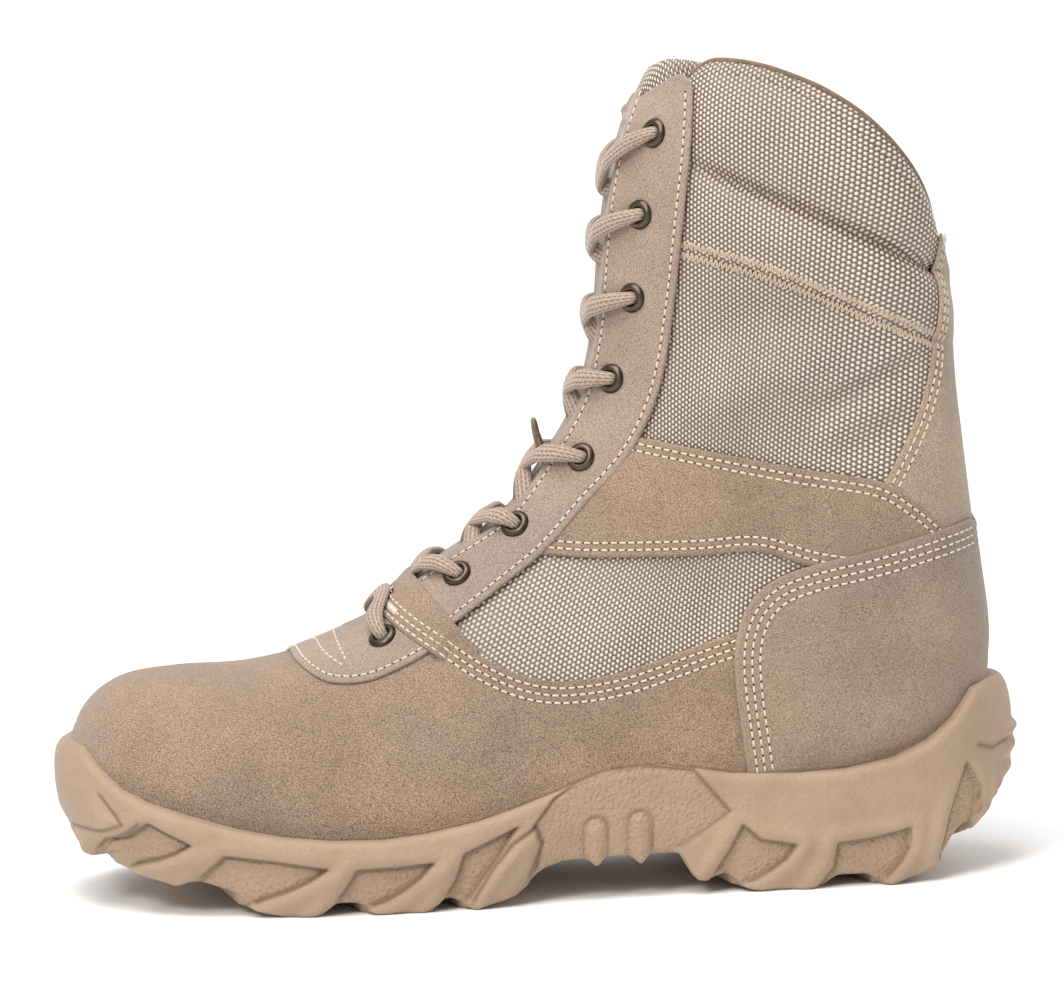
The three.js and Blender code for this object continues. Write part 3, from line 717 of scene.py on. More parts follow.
def beside(line, distance, closed=False):
    """A line of places moved sideways over the last, to the left of its run as seen from
    outside, in steps of at most a millimetre."""
    points = sample(last_points, line)
    run = loop_run(points) if closed else unit(np.gradient(points, axis=0))
    steps = max(1, int(math.ceil(abs(distance))))
    for _ in range(steps):
        left = np.cross(sample(last_normals, line), run)
        line = stepped(line, left * distance / steps)
    return line


def inside(loop, uw):
    """Which places lie inside a closed loop: an odd number of its sides cross to their left."""
    a, b = loop, np.roll(loop, -1, 0)
    count = np.zeros(len(uw), dtype=int)
    for (u0, w0), (u1, w1) in zip(a, b):
        crosses = (w0 > uw[:, 1]) != (w1 > uw[:, 1])
        at = u0 + (uw[:, 1] - w0) * (u1 - u0) / (w1 - w0 if w1 != w0 else 1e-12)
        count += crosses & (uw[:, 0] < at)
    return count % 2 == 1


stitch_pitch = 2.8
seams = []


def sew(line, lift):
    """Notes a row of stitches: the places of its needle holes, and its lift over the last."""
    seams.append((paced(line, stitch_pitch), lift))


def sew_edge(line, side, rows, lift):
    """Rows of stitches inside an edge, which lies to the left of a line on the medial side and
    to its right on the lateral side."""
    for distance in rows:
        sew(beside(line, side * distance), lift)


def ring_about(out, axis, angle):
    """Unit directions round an outward one, cos(angle) * first + sin(angle) * second, where the
    first is square to it and to an axis."""
    first = unit(np.cross(out, axis))
    return np.cos(angle) * first + np.sin(angle) * np.cross(out, first)


outline_step = 1.3
seam_dip, seam_dip_width = 0.3, 0.7


def cut_piece(name, parts, lift, thickness, material, rings, rows=(), spacing=2.4, edge=0.9,
              holes=None, hole_radius=3.3):
    """A piece of the upper cut to an outline and laid over the last. The outline's parts are lines
    of places. Rings of points follow the edge inwards, a staggered grid fills the middle, and
    triangles join them. The face rises over a rounded edge, sqrt(1 - (1 - d / edge)^2), dips
    along each sewn row, and has a wall behind it."""
    loop = np.concatenate([paced(part, outline_step)[:-1] for part in parts])
    if inside(loop, beside(loop, 0.4, True)[::7]).mean() <= 0.5:
        loop = loop[::-1]
    points = sample(last_points, loop)
    fill = []
    ring, reached = loop, 0.0
    for distance in rings:
        ring = beside(ring, distance - reached, True)
        reached = distance
        keep = inside(loop, ring) & (distance_to(sample(last_points, ring), points) > 0.93 * distance)
        fill.append(ring[keep])
    scale = np.array([np.linalg.norm(sample(along_last, loop), axis=1).mean(),
                      np.linalg.norm(sample(across_last, loop), axis=1).mean()])
    low, high = loop.min(0), loop.max(0)
    grid = every_pair(np.arange(low[0], high[0], spacing * 0.87 / scale[0]),
                      np.arange(low[1], high[1], spacing / scale[1]))
    grid[1::2, :, 1] += spacing / scale[1] / 2
    grid = grid.reshape(-1, 2)
    grid = grid[inside(loop, grid)]
    grid = grid[distance_to(sample(last_points, grid), points) > reached + 0.5 * spacing]
    fill = np.concatenate(fill + [grid])
    if holes is not None:
        fill = fill[distance_to(sample(last_points, fill), holes) > hole_radius * 1.25]
        around = np.linspace(0, 2 * np.pi, 24, endpoint=False)[:, None]
        for centre in holes:
            spot = fill[np.argmin(((sample(last_points, fill) - centre) ** 2).sum(1))]
            ring = centre + hole_radius * ring_about(sample(last_normals, spot), [0, 1, 0], around)
            start = np.repeat(spot[None], len(around), 0)
            for _ in range(4):
                start = stepped(start, ring - sample(last_points, start))
            fill = np.concatenate([fill, start])
    flat = np.concatenate([loop, fill])
    count = len(loop)
    border = [(k, (k + 1) % count) for k in range(count)]
    corners, _, triangles, *_ = delaunay_2d_cdt([Vector(p) for p in (flat * scale).tolist()], border,
                                                [], 1, 1e-5)
    uw = np.array([tuple(p) for p in corners]) / scale
    faces = np.array([face for face in triangles if len(face) == 3])
    base = sample(last_points, uw)
    if holes is not None:
        faces = faces[distance_to(base[faces].mean(1), holes) > hole_radius * 0.97]
    depth = distance_to(base, points)
    round_edge = np.sqrt(1 - (1 - np.clip(depth / edge, 0, 1)) ** 2)
    rise = (lift(uw) if callable(lift) else np.full(len(uw), lift)) - edge * (1 - round_edge) * 0.8
    for row in rows:
        rise -= seam_dip * np.exp(-((depth - row) / seam_dip_width) ** 2)
    placed = on_last(uw, rise)
    a, b, c = (placed[faces[:, k]] for k in range(3))
    outwards = (np.cross(b - a, c - a) * sample(last_normals, uw[faces[:, 0]])).sum(1)
    if outwards.sum() < 0:
        faces = faces[:, ::-1]
    piece = mesh_object(name, placed, faces, material)
    wall(piece, thickness)
    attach(piece, "root")
    return piece


def suede(name, light, dark, grain=2900, depth=0.35):
    """Rough-out suede: a short nap of fine light and dark fibres over soft lumps, brushed patches
    of lighter and darker shade, and a few rubbed spots."""
    material, surface = shader(name, 0.95, Sheen_Weight=0.3, Sheen_Roughness=0.5,
                               Specular_IOR_Level=0.2)
    fine = noise(material, grain, 2, 0.6)
    shade = ramp(material, fine, [(0.36, dark), (0.60, light)])
    patches = clouded(material, 40, 5, [(0.3, (0.86, 0.85, 0.84)), (0.7, (1.08, 1.07, 1.06))], 0.6)
    worn = clouded(material, 13, 2, [(0.35, (0.90, 0.92, 0.95)), (0.65, (1.07, 1.04, 1.0))])
    paint(material, surface, shade, patches, worn)
    lumps = add_bump(material, surface, noise(material, 160, 3), 0.45)
    add_bump(material, surface, fine, depth, lumps)
    return material


vamp_suede = suede("vamp_suede", (0.43, 0.305, 0.213), (0.13, 0.083, 0.054))
front_join = np.array([[5.55, 0.0]])
vamp_lift = 1.1
vamp_rows = (2.4, 4.7, 7.0)
vamp_parts = [
    np.concatenate([along_lip(68, -149.5, -1), along_lip(-149.5, 68, 1)]),
    drawn([[68, 32], [68, 83.5]], 1),
    drawn(vamp_top[::-1], 1),
    np.concatenate([places(vamp_top[:1], 1), front_join, places(vamp_top[:1], -1)]),
    drawn(vamp_top, -1),
    drawn([[68, 83.5], [68, 32]], -1),
]
cut_piece("vamp", vamp_parts, over_cloth(vamp_lift), 1.6, vamp_suede,
          [0.35, 0.8, 1.5, 2.4, 3.3, 4.0, 4.7, 5.5, 6.3, 7.0, 7.9], rows=vamp_rows)
for side in (-1, 1):
    sew_edge(drawn(vamp_top, side), side, vamp_rows, over_cloth(vamp_lift))

# ---- Ankle bands: suede straps from the facing to the heel ---------------------------------------
# One strap a side holds the nylon at the ankle, with two rows of stitches along each edge. Its
# ends are caught under the facing and the heel counter.
band_top = [[28, 143.5], [50, 138.6], [81, 132], [106.5, 127], [119, 119.3], [126.5, 112.7],
            [133, 107]]
band_bottom = [[-8, 106], [1.6, 106], [17.8, 104.9], [49, 105.1], [67.9, 106], [84, 101], [100, 98]]
band_lift = 1.5
band_rows = (2.3, 4.6)
band_rings = [0.35, 0.8, 1.5, 2.3, 3.1, 3.9, 4.6, 5.4]
band_suede = suede("band_suede", (0.45, 0.32, 0.22), (0.155, 0.10, 0.066))
for side, side_name in ((-1, "lateral"), (1, "medial")):
    edges = [drawn(line, side) for line in (band_top, band_bottom)]
    heel_end = drawn([band_top[-1], band_bottom[-1]], side)
    facing_end = drawn([band_bottom[0], [8, 128], band_top[0]], side)
    band = cut_piece(f"band_{side_name}", [edges[0], heel_end, edges[1][::-1], facing_end],
                     over_cloth(band_lift), 1.5, band_suede, band_rings, rows=band_rows)
    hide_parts(f"ankle_band_{side_name}")
    for distance in band_rows:
        sew_edge(edges[0], side, [distance], over_cloth(band_lift))
        sew_edge(edges[1], -side, [distance], over_cloth(band_lift))

# ---- Backstay: suede up the back of the leg ------------------------------------------------------
# A strip of suede that covers the seam at the back, sewn down with two rows along each side. Its
# square top end is loose, and bridges the collar's foam.
backstay_edge = [[100, 116], [107.8, 126.9], [117.6, 145.5], [122.7, 161.1], [124.5, 173.6],
                 [126.6, 204]]
backstay_lift = 1.1


def backstay_rise(uw):
    """The backstay's lift: it bridges the foam and stands off the leg at its top end."""
    points = sample(last_points, uw)
    edge = backstay_sides[1]
    half_width = np.interp(uw[:, 0], edge[:, 0], np.abs(edge[:, 1] - 1))
    bridge = backstay_lift + 1.3 * smooth(150, 188, points[:, 2])
    inner = smooth(1.0, 0.55, np.abs(uw[:, 1] - 1) / np.maximum(half_width, 0.01))
    low = padding(points, 0.0) + folds(points) + backstay_lift
    return low + inner * np.maximum(bridge - low, 0)


backstay_sides = {side: behind(drawn(backstay_edge, side)) for side in (-1, 1)}
top_corners = [backstay_sides[side][-1] for side in (-1, 1)]
backstay = cut_piece(
    "back_strip",
    [backstay_sides[-1], np.array([top_corners[0], [top_corners[0][0], 1.0], top_corners[1]]),
     backstay_sides[1][::-1], np.array([backstay_sides[1][0], [12.0, 1.0], backstay_sides[-1][0]])],
    backstay_rise, 1.5, suede("backstay_suede", (0.52, 0.40, 0.29), (0.20, 0.143, 0.10)),
    band_rings, rows=band_rows)
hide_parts("backstay")
for side in (-1, 1):
    sew_edge(backstay_sides[side], side, band_rows, backstay_rise)

# ---- Heel counter: suede round the heel ----------------------------------------------------------
# A stiff moulded counter, sewn over the vamp, band and backstay with three rows. It runs down
# inside the sole.
counter_edge = [[63, 31], [62.2, 37], [59.6, 59.7], [59.4, 75.4], [63.3, 87.9], [71.4, 96.5],
                [84.1, 101.4], [103.2, 105.5], [125.4, 111], [136, 113.4]]
counter_lift = 2.3
counter_rows = (3.0, 5.5, 8.0)
counter_sides = {side: behind(drawn(counter_edge, side)) for side in (-1, 1)}
heel_under = {side: behind(along_lip(63, 145, side)) for side in (-1, 1)}
counter = cut_piece(
    "counter",
    [counter_sides[-1], np.array([counter_sides[-1][-1], [12.45, 1.0], counter_sides[1][-1]]),
     counter_sides[1][::-1], heel_under[1],
     np.array([heel_under[1][-1], [10.65, 1.0], heel_under[-1][-1]]), heel_under[-1][::-1]],
    over_cloth(counter_lift), 2.2,
    suede("counter_suede", (0.42, 0.318, 0.232), (0.165, 0.118, 0.085), 3000, 0.3),
    [0.35, 0.8, 1.5, 2.3, 3.0, 3.8, 4.7, 5.5, 6.4, 7.2, 8.0, 8.9], rows=counter_rows)
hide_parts("heel_counter")
for side in (-1, 1):
    sew_edge(counter_sides[side], side, counter_rows, over_cloth(counter_lift))

# ---- Facing: nubuck that carries the eyelets -----------------------------------------------------
# A U-shaped piece down both sides of the throat and across its lower end. It lies over the vamp
# and bands, with one row of stitches round both edges and three short ones at the front end.
facing_edge = [[-82, 74.5], [-80.6, 76.5], [-76.2, 72.3], [-67, 67.9], [-54.6, 68.4], [-42, 73.3],
               [-34, 78], [-28, 84.5], [-13.3, 95.2], [2.6, 107.2], [15.4, 120.8], [28.3, 134.5],
               [36.4, 148.2], [41.5, 163.7], [45.1, 185.3], [47, 200.7], [48.9, 216.1], [50.8, 231.5],
               [51.9, 243.8], [52.3, 249.5]]
facing_top = [[52.3, 249.5], [51.6, 253], [48.5, 255.2], [44, 252.6], [38, 248.6], [31.5, 244.6]]
facing_lift = 2.3
facing_row = 2.5
throat_head, throat_foot = 14.75, 5.95
throat_u = np.linspace(throat_head, throat_foot, 90)
nose_angle = np.linspace(0, np.pi, 13)[1:-1]
nose = np.stack([throat_foot - 0.3 * np.sin(nose_angle),
                 -throat_share(np.array([throat_foot]))[0] * np.cos(nose_angle)], 1)
throat_edges = {side: np.stack([throat_u, side * throat_share(throat_u)], 1) for side in (-1, 1)}
facing_sides = {side: drawn(facing_edge, side) for side in (-1, 1)}
facing_tops = {side: drawn(facing_top, side) for side in (-1, 1)}
front_tip = np.array([[facing_sides[-1][0][0], 0.0]])
nubuck = suede("facing_nubuck", (0.40, 0.31, 0.24), (0.19, 0.143, 0.108), 2600, 0.12)
facing = cut_piece(
    "eyelet_facing",
    [np.concatenate([front_tip, facing_sides[-1]]),
     np.concatenate([facing_tops[-1], throat_edges[-1][:1]]),
     np.concatenate([throat_edges[-1], nose, throat_edges[1][-1:]]), throat_edges[1][::-1],
     np.concatenate([throat_edges[1][:1], facing_tops[1][::-1]]),
     np.concatenate([facing_sides[1][::-1], front_tip])],
    facing_lift, 2.0, nubuck, [0.35, 0.8, 1.6, 2.5, 3.4, 4.6], rows=(facing_row,),
    holes=eyelet_centres)
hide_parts("facing")
for side in (-1, 1):
    for line in (facing_sides[side][2:], throat_edges[side]):
        sew_edge(line, -side, [facing_row], facing_lift)
    for arc in ([[-72.5, 81], [-68, 75.5], [-62, 72]], [[-66, 84], [-63, 77.5], [-61, 73.5]]):
        sew(drawn(arc, side), facing_lift)

# ---- Outsole: moulded rubber cup and lugs --------------------------------------------------------
# One moulding glued under the upper. Its wall climbs to a lip round the foot, with smooth slanted
# lobes that end in the tread's lugs, and pebbled pockets sunk between them.
sole_outline = np.array([
    [-150.8, -14, 25], [-140.5, -31, 38], [-125, -43.5, 45.5], [-104, -52, 50], [-80, -56.5, 52],
    [-54, -57.5, 52], [-25, -55, 49], [5, -50.5, 45], [35, -46.5, 42.5], [65, -44, 42.5],
    [95, -43, 43], [119, -39.5, 39.5], [138, -30.5, 30.5], [149.2, -16.5, 16.5]])
tread_line = np.array([
    [-160, 27], [-150, 20.5], [-146, 16.8], [-142, 15.8], [-137, 15], [-133, 13.8], [-120, 10],
    [-106, 6], [-94, 2.6], [-84, 0], [-24, 0], [-8, 4], [4, 8], [12, 8.4], [40, 8.4], [46, 4.6],
    [66, 0], [108, 0], [118, 2.6], [127, 7.5], [138, 17], [146, 24], [153, 33]])
pockets = [
    [[-124.4, 28.7], [-118, 25.4], [-111.6, 22.4], [-116, 19.8], [-121, 17.8], [-127, 16.2],
     [-134, 13.5], [-142, 10], [-143, 17], [-138, 22.8], [-130.5, 24.6]],
    [[-100.7, 19.2], [-85, 17.2], [-69.9, 14.6], [-75, 11.4], [-81, 8.6], [-88, 6.2], [-95, 3.6],
     [-102, -4], [-116, -4], [-110.4, 10.8], [-106, 14.6]],
    [[-60.5, 14.1], [-48, 14.4], [-37.3, 15.2], [-41.5, 11], [-46, 7.6], [-51.5, 4.6], [-57, 2.6],
     [-62, -4], [-76, -4], [-67.6, 3.8], [-64, 8.6]],
    [[-27.2, 17.6], [-18, 21.5], [-10.9, 24.7], [-13.4, 21.6], [-17.5, 15.8], [-22, 10], [-27, 3.4],
     [-31, -4], [-40, -4], [-34.5, 3], [-30.3, 9.5]],
    [[60.3, 21.3], [65.7, 16.4], [76.7, 14.3], [73.6, 10.2], [69, 6.8], [63, 3.6], [57, 1.6], [53, -4],
     [44, -4], [51.9, 7.6], [56.6, 14.5]],
    [[90.3, 14.2], [101, 15.2], [113.4, 17.6], [113, 12], [110.4, 7.4], [106, 3], [101, -4], [80, -4],
     [85.8, 3], [89.2, 7]],
    [[133.2, 36.6], [137.6, 28.3], [138.2, 21.4], [134, 13], [128, 4], [124, 8], [127.5, 21.8]],
]
arch_panel = [[-5.7, 24.7], [1, 33], [8.4, 37.6], [16.6, 40.6], [28.8, 41.7], [45, 39.5],
              [56.1, 26], [48, 20.5], [38.8, 15.2], [36, 2], [-4, 2], [-7.7, 8.9], [-3.4, 19]]
leaf = [[-4.9, 24.3], [-3.3, 20.1], [-5.2, 12], [-11, 3], [-14, -4], [-28, -4], [-24.4, 3.8],
        [-18.9, 12.6], [-12.3, 19.7]]
grooves = [[[-139.5, 36.5], [-135.4, 31.4], [-132.7, 28]], [[-132.7, 28], [-139, 25.4], [-149, 25]],
           [[-137.5, 22.6], [-131, 25.6], [-127.5, 28.5]], [[137.6, 42], [143, 40], [150, 42]]]
fins = [[14.1, 26.0], [28.0, 27.2]]
lobe_ends = np.array([[-152, -141], [-134, -114.5], [-96, -70], [-58, -36], [-28, -8], [42, 52],
                      [58, 87.5], [103, 127], [136, 158]])
middle_lugs = np.array([[-112, 12, 15], [-88, 13, 22], [-62, 14, 25], [-35, 13, 22], [-10, 10, 17],
                        [55, 10, 10], [78, 12, 14], [102, 12, 12]])
sole_columns = 860
lug_height = 5.0
lug_reach = 25.0


def closed_curve(points, count):
    """A closed spline through plan points, at even steps of arc length."""
    t = np.linspace(0, 1, 40, endpoint=False)[None, :, None]
    line = spline(*(np.roll(points, shift, 0)[:, None] for shift in (1, 0, -1, -2)), t).reshape(-1, 2)
    line = np.concatenate([line, line[:1]])
    length = run_length(line)
    at = np.arange(count) * length[-1] / count
    return np.stack([np.interp(at, length, column) for column in line.T], 1)


def signed_distance(x, z, polygon):
    """Distance from side-view points to a polygon's edge, negative inside it."""
    best = np.full(x.shape, 1e9)
    crossings = np.zeros(x.shape, dtype=int)
    for (x0, z0), (x1, z1) in zip(polygon, polygon[1:] + polygon[:1]):
        best = np.minimum(best, segment_distance(x, z, x0, z0, x1, z1))
        if z0 != z1:
            hit = x0 + (z - z0) * (x1 - x0) / (z1 - z0)
            crossings += ((z0 > z) != (z1 > z)) & (x < hit)
    return np.where(crossings % 2 == 1, -best, best)


def relief(x, z):
    """How far the sole's wall stands out at side-view points: rounded lobes, sunk pockets, narrow
    moulded grooves and the arch's fins, each from its distance to a drawn outline."""
    outward = np.zeros(x.shape)
    for polygon in pockets:
        gap = signed_distance(x, z, polygon)
        low_down = smooth(28, 10, z - line_at(tread_line, x))
        outward += 1.5 * np.exp(-((gap - 3.0) / 2.7) ** 2) * low_down
        outward -= 1.5 * smooth(0.4, -0.5, gap) + 0.6 * np.exp(-((gap + 0.35) / 0.5) ** 2)
    panel = signed_distance(x, z, arch_panel)
    blade = signed_distance(x, z, leaf)
    panel_sunk = 0.9 * smooth(0.5, -0.6, panel) + 0.45 * np.exp(-(panel / 0.55) ** 2)
    outward -= panel_sunk * smooth(-0.4, 0.8, blade)
    outward += 1.3 * smooth(0.3, -3.5, blade) - 0.7 * np.exp(-((blade - 0.3) / 0.6) ** 2)
    for line in grooves:
        for (x0, z0), (x1, z1) in zip(line[:-1], line[1:]):
            outward -= 0.85 * np.exp(-(segment_distance(x, z, x0, z0, x1, z1) / 0.6) ** 2) / len(line)
    bumper = signed_distance(x, z, [[-160, 60], [-139.5, 36.5], [-132.7, 28], [-139, 25.4], [-160, 25]])
    outward += 1.2 * smooth(0.4, -5, bumper)
    ribs = smooth(145.5, 149, x) * smooth(19, 22, z) * smooth(48, 44, z)
    outward += ribs * (0.9 + 1.1 * np.sin(np.pi * (z - 22) / 6.5) ** 2)
    for middle, crown in fins:
        gap = segment_distance(x, z, middle, crown - 3.6, middle, 4.0) - 3.3
        outward += 1.7 * np.sqrt(np.clip(-gap / 3.3, 0, 1)) - 0.9 * np.exp(-((gap - 0.5) / 0.6) ** 2)
    return outward


def lug_at(x, edges, soft=0.9):
    """One where x lies between a lug's ends, falling to zero over a short slope."""
    return (smooth(-soft, soft, x[..., None] - edges[:, 0])
            * smooth(-soft, soft, edges[:, 1] - x[..., None])).max(-1)


def arch_at(x):
    """One under the arch, falling to zero at both its ends."""
    return smooth(-8, -1, x) * smooth(45, 39, x)


def spine_y(x):
    """The middle of the sole across the boot."""
    return (line_at(sole_outline, x, 1) + line_at(sole_outline, x, 2)) / 2


plan = closed_curve(np.concatenate([[[-154.6, 6.0]], sole_outline[:, :2], [[154.2, 0.0]],
                                    sole_outline[::-1][:, [0, 2]]]), sole_columns)
plan_run = loop_run(plan)
inward = np.stack([-plan_run[:, 1], plan_run[:, 0]], 1)
lip_x = np.concatenate([np.linspace(-148.9, 143, 260), np.linspace(143.2, 145.4, 12)])
lip_points = np.stack([lip_x, line_at(lip_line, lip_x)], 1)
lip_ring = np.concatenate([sample(last_points, places(lip_points, side)) for side in (-1, 1)])
lip_ring -= leg_middle
offset = lip_ring[None, :, :2] - plan[:, None]
sideways = np.abs((offset * plan_run[:, None]).sum(-1))
depth_in = (offset * inward[:, None]).sum(-1)
sideways[(depth_in < -3) | (depth_in > 30)] = 1e9
lip_depth = np.take_along_axis(depth_in, sideways.argmin(1)[:, None], 1)[:, 0]
soft_window = np.hanning(19) / np.hanning(19).sum()
lip_depth = np.convolve(np.concatenate([lip_depth[-9:], lip_depth, lip_depth[:9]]), soft_window, "valid")

x_edge = plan[:, 0]
lip_top = line_at(lip_line, x_edge)
arch_share = arch_at(x_edge)
pocket_rise = 3.6 * (1 - lug_at(x_edge, lobe_ends, 4.2)) * (1 - arch_share)
fin_drop = sum(2.6 * np.exp(-((x_edge - middle) / 2.2) ** 2) for middle, _ in fins)
wall_low = line_at(tread_line, x_edge) + pocket_rise + (lug_height - fin_drop) * arch_share

wall_share = np.concatenate([np.array([0, 0.008, 0.02, 0.035]), np.linspace(0.05, 0.88, 54),
                             [0.905, 0.93, 0.95, 0.967, 0.98, 0.99, 0.996, 1.0]])[:, None]
wall_height = lip_top - wall_low
wall_z = wall_low + wall_share * wall_height
bottom_round = 1.3 * (1 - np.sqrt(1 - (1 - np.clip(wall_share * wall_height / 1.3, 0, 1)) ** 2))
at_heel = smooth(136, 147, x_edge)
at_toe = smooth(-143, -151, x_edge)
top_reach = 3.0 + 11.0 * at_heel + 6.0 * at_toe
near_top = np.clip(1 - (1 - wall_share) * wall_height / top_reach, 0, 1)
top_round = (2.2 + 2.6 * at_heel + 1.6 * at_toe) * (1 - np.sqrt(1 - near_top ** 2))
lean = 1.6 * np.clip(1 - wall_share / 0.5, 0, 1) ** 1.5
stands_out = relief(np.repeat(x_edge[None], len(wall_share), 0), wall_z)
stands_out *= smooth(0, 1.5, (1 - wall_share) * wall_height)
wall_inset = bottom_round + top_round + lean - stands_out
top_inset = np.stack([np.maximum(2.6, lip_depth - 0.4), np.maximum(3.2, lip_depth + 1.6)])
top_z = np.stack([lip_top + 0.15, lip_top - 1.5])
foot_floor = line_at(floor_line, x_edge)
spine_x = np.clip(x_edge, -128, 132)
spine = np.stack([spine_x, spine_y(spine_x)], 1)


def sole_rows(inset, z):
    """Rows of the sole moved inwards from its outline, at the given heights."""
    return np.concatenate([plan + inward * inset[..., None], z[..., None]], -1)


def under_z(x, y):
    """The tread's height from below: the lowest edge, and 5 mm more between the lugs."""
    edge = np.where(y < spine_y(x), line_at(sole_outline, x, 1), line_at(sole_outline, x, 2))
    inside_edge = np.abs(edge - y)
    slanted = x + 9 * np.clip(inside_edge / lug_reach, 0, 1)
    rim = lug_at(slanted, lobe_ends) * smooth(lug_reach + 0.9, lug_reach - 0.9, inside_edge)
    centre = np.abs(y - spine_y(x))
    middle = (smooth(0.9, -0.9, np.abs(x[..., None] - middle_lugs[:, 0]) - middle_lugs[:, 1] / 2)
              * smooth(0.9, -0.9, centre[..., None] - middle_lugs[:, 2])).max(-1)
    raised = np.maximum(rim, middle)
    return line_at(tread_line, x) + lug_height * (1 - raised * (1 - arch_at(x)))


share_in = np.concatenate([[0.0, 0.012, 0.03], np.linspace(0.06, 1, 38)])[:, None, None]
edge_ring = sole_rows(wall_inset[0], wall_low)
under_xy = edge_ring[None, :, :2] * (1 - share_in) + spine[None] * share_in
under_depth = under_z(under_xy[..., 0], under_xy[..., 1])
blend = smooth(0, 0.03, share_in[..., 0])
under_depth = wall_low[None] * (1 - blend) + under_depth * blend
under_rows = np.concatenate([under_xy, under_depth[..., None]], -1)[::-1]
inner_rows = np.stack([sole_rows(np.maximum(4.0, lip_depth + 3.2), foot_floor + 0.6),
                       np.concatenate([spine, foot_floor[:, None] + 0.4], 1)])
sole_grid = np.concatenate([under_rows[:-1], sole_rows(wall_inset, wall_z), sole_rows(top_inset, top_z),
                            inner_rows])
rubber, rubber_surface = shader("moulded_rubber", 0.62, Specular_IOR_Level=0.35, Sheen_Weight=0.08)
pebbled = painted_value(rubber, "pebbled")
rubber_shade = clouded(rubber, 22, 3, [(0.3, (0.345, 0.24, 0.162)), (0.7, (0.40, 0.283, 0.194))])
dust = clouded(rubber, 70, 4, [(0.45, (1.0, 1.0, 1.0)), (0.75, (0.9, 0.87, 0.84))], 0.65)
# Painted shade: the sunk, pebbled pockets are tinted a little darker and warmer than the lobes.
pocket_painted_shade = mixed(rubber, pebbled, (1.0, 1.0, 1.0), (1.0, 0.985, 0.97))
# Painted shadow: the moulded grooves and the outlines of the pockets, arch panel and leaf are darkened
# to about two fifths, as shade in their recesses.
groove_painted_shadow = mixed(rubber, painted_value(rubber, "groove_shadow"), (1.0, 1.0, 1.0), (0.42, 0.36, 0.32))
paint(rubber, rubber_surface, rubber_shade, dust, pocket_painted_shade, groove_painted_shadow)
pebble_cells = texture(rubber, "Voronoi", "Distance", "SMOOTH_F1", Scale=880, Smoothness=0.6)
pebbles = math_node(rubber, "MULTIPLY", pebble_cells, pebbled)
fine_skin = add_bump(rubber, rubber_surface, noise(rubber, 720, 3, 0.6), 0.5)
add_bump(rubber, rubber_surface, pebbles, -0.6, fine_skin)


def set_value(made, name, values):
    """A named number on each vertex, for its material to read."""
    layer = made.data.attributes.new(name, "FLOAT", "POINT")
    layer.data.foreach_set("value", np.asarray(values, dtype=np.float32).ravel())


outsole = mesh_object("moulded_sole", sole_grid.reshape(-1, 3) + leg_middle,
                      grid_faces(len(sole_grid), sole_columns, wrap=True), rubber)
sole_x, sole_z = sole_grid[..., 0], sole_grid[..., 2]
on_wall = np.zeros(len(sole_grid))
on_wall[len(under_rows) - 1:len(under_rows) - 1 + len(wall_share)] = 1
outlines = pockets + [arch_panel]
sunk = np.max([smooth(0.3, -0.8, signed_distance(sole_x, sole_z, line)) for line in outlines], 0)
sunk *= smooth(-0.4, 0.8, signed_distance(sole_x, sole_z, leaf))
outline_gap = np.min([np.abs(signed_distance(sole_x, sole_z, line)) for line in outlines + [leaf]], 0)
groove_gap = np.min([line_distance(sole_x, sole_z, line) for line in grooves], 0)
# The mask of the painted groove shadow, from the distances to the outlines and the grooves.
cut = np.maximum(np.exp(-(outline_gap / 0.55) ** 2), np.exp(-(groove_gap / 0.6) ** 2))
# The pebbled value places the pockets' pebble bump and also their painted shade.
set_value(outsole, "pebbled", sunk * on_wall[:, None])
set_value(outsole, "groove_shadow", 0.85 * cut * on_wall[:, None] * smooth(1.0, 3.0, sole_z - wall_low[None]))
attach(outsole, "root")
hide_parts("outsole")

# ---- Quilting: zigzag stitches across the shaft --------------------------------------------------
# Two close zigzag rows of the cream thread hold the lower foam roll along a slanting line, sewn
# straight through the nylon on both sides.
quilt_line = [[44, 201.6], [57, 197.9], [69.5, 194], [83, 188.6], [97.3, 182.4], [110, 176.8],
              [129, 169]]
zigzag_half, zigzag_step = 1.55, 0.8


def zigzag(line, half_width):
    """A line of places moved to its right and left in turn."""
    odd = (np.arange(len(line)) % 2)[:, None]
    return beside(line, half_width) * odd + beside(line, -half_width) * (1 - odd)


quilting = []
for side in (-1, 1):
    middle_line = drawn(quilt_line, side)
    for row in (-1.75, 1.75):
        teeth = paced(beside(middle_line, row), zigzag_step)
        quilting.append((zigzag(teeth, zigzag_half), over_cloth(0.3)))

# ---- Tongue: padded nylon ------------------------------------------------------------------------
# A padded leaf of the same nylon behind the throat, sewn in at its foot. Its top edge stands a
# little above the facing.
tongue_share = 0.235
tongue_rows, tongue_columns = 200, 90
tongue_foot = 5.3
tongue_thickness = 4.4
around_leg = 155  # half the way round the leg, which is one in w


def tongue_lift(uw):
    """The tongue lies inside the wall: shallow in the throat and deeper behind its edges, and its
    padded top swells out. Quilting rounds it into bars further down."""
    high = smooth(12.9, 14.2, uw[..., 0])
    from_middle = np.abs(uw[..., 1])
    crown = 2.6 * smooth(13.9, 15.1, uw[..., 0]) * np.exp(-(from_middle / 0.12) ** 2)
    bars = 0.5 * np.abs(np.sin(uw[..., 0] * np.pi / 0.62)) * smooth(0.16, 0.08, from_middle)
    return (-4.9 - 4.4 * smooth(0.07, 0.17, from_middle) + 2.6 * high * smooth(0.26, 0.1, from_middle)
            + bars * (1 - high) + crown)


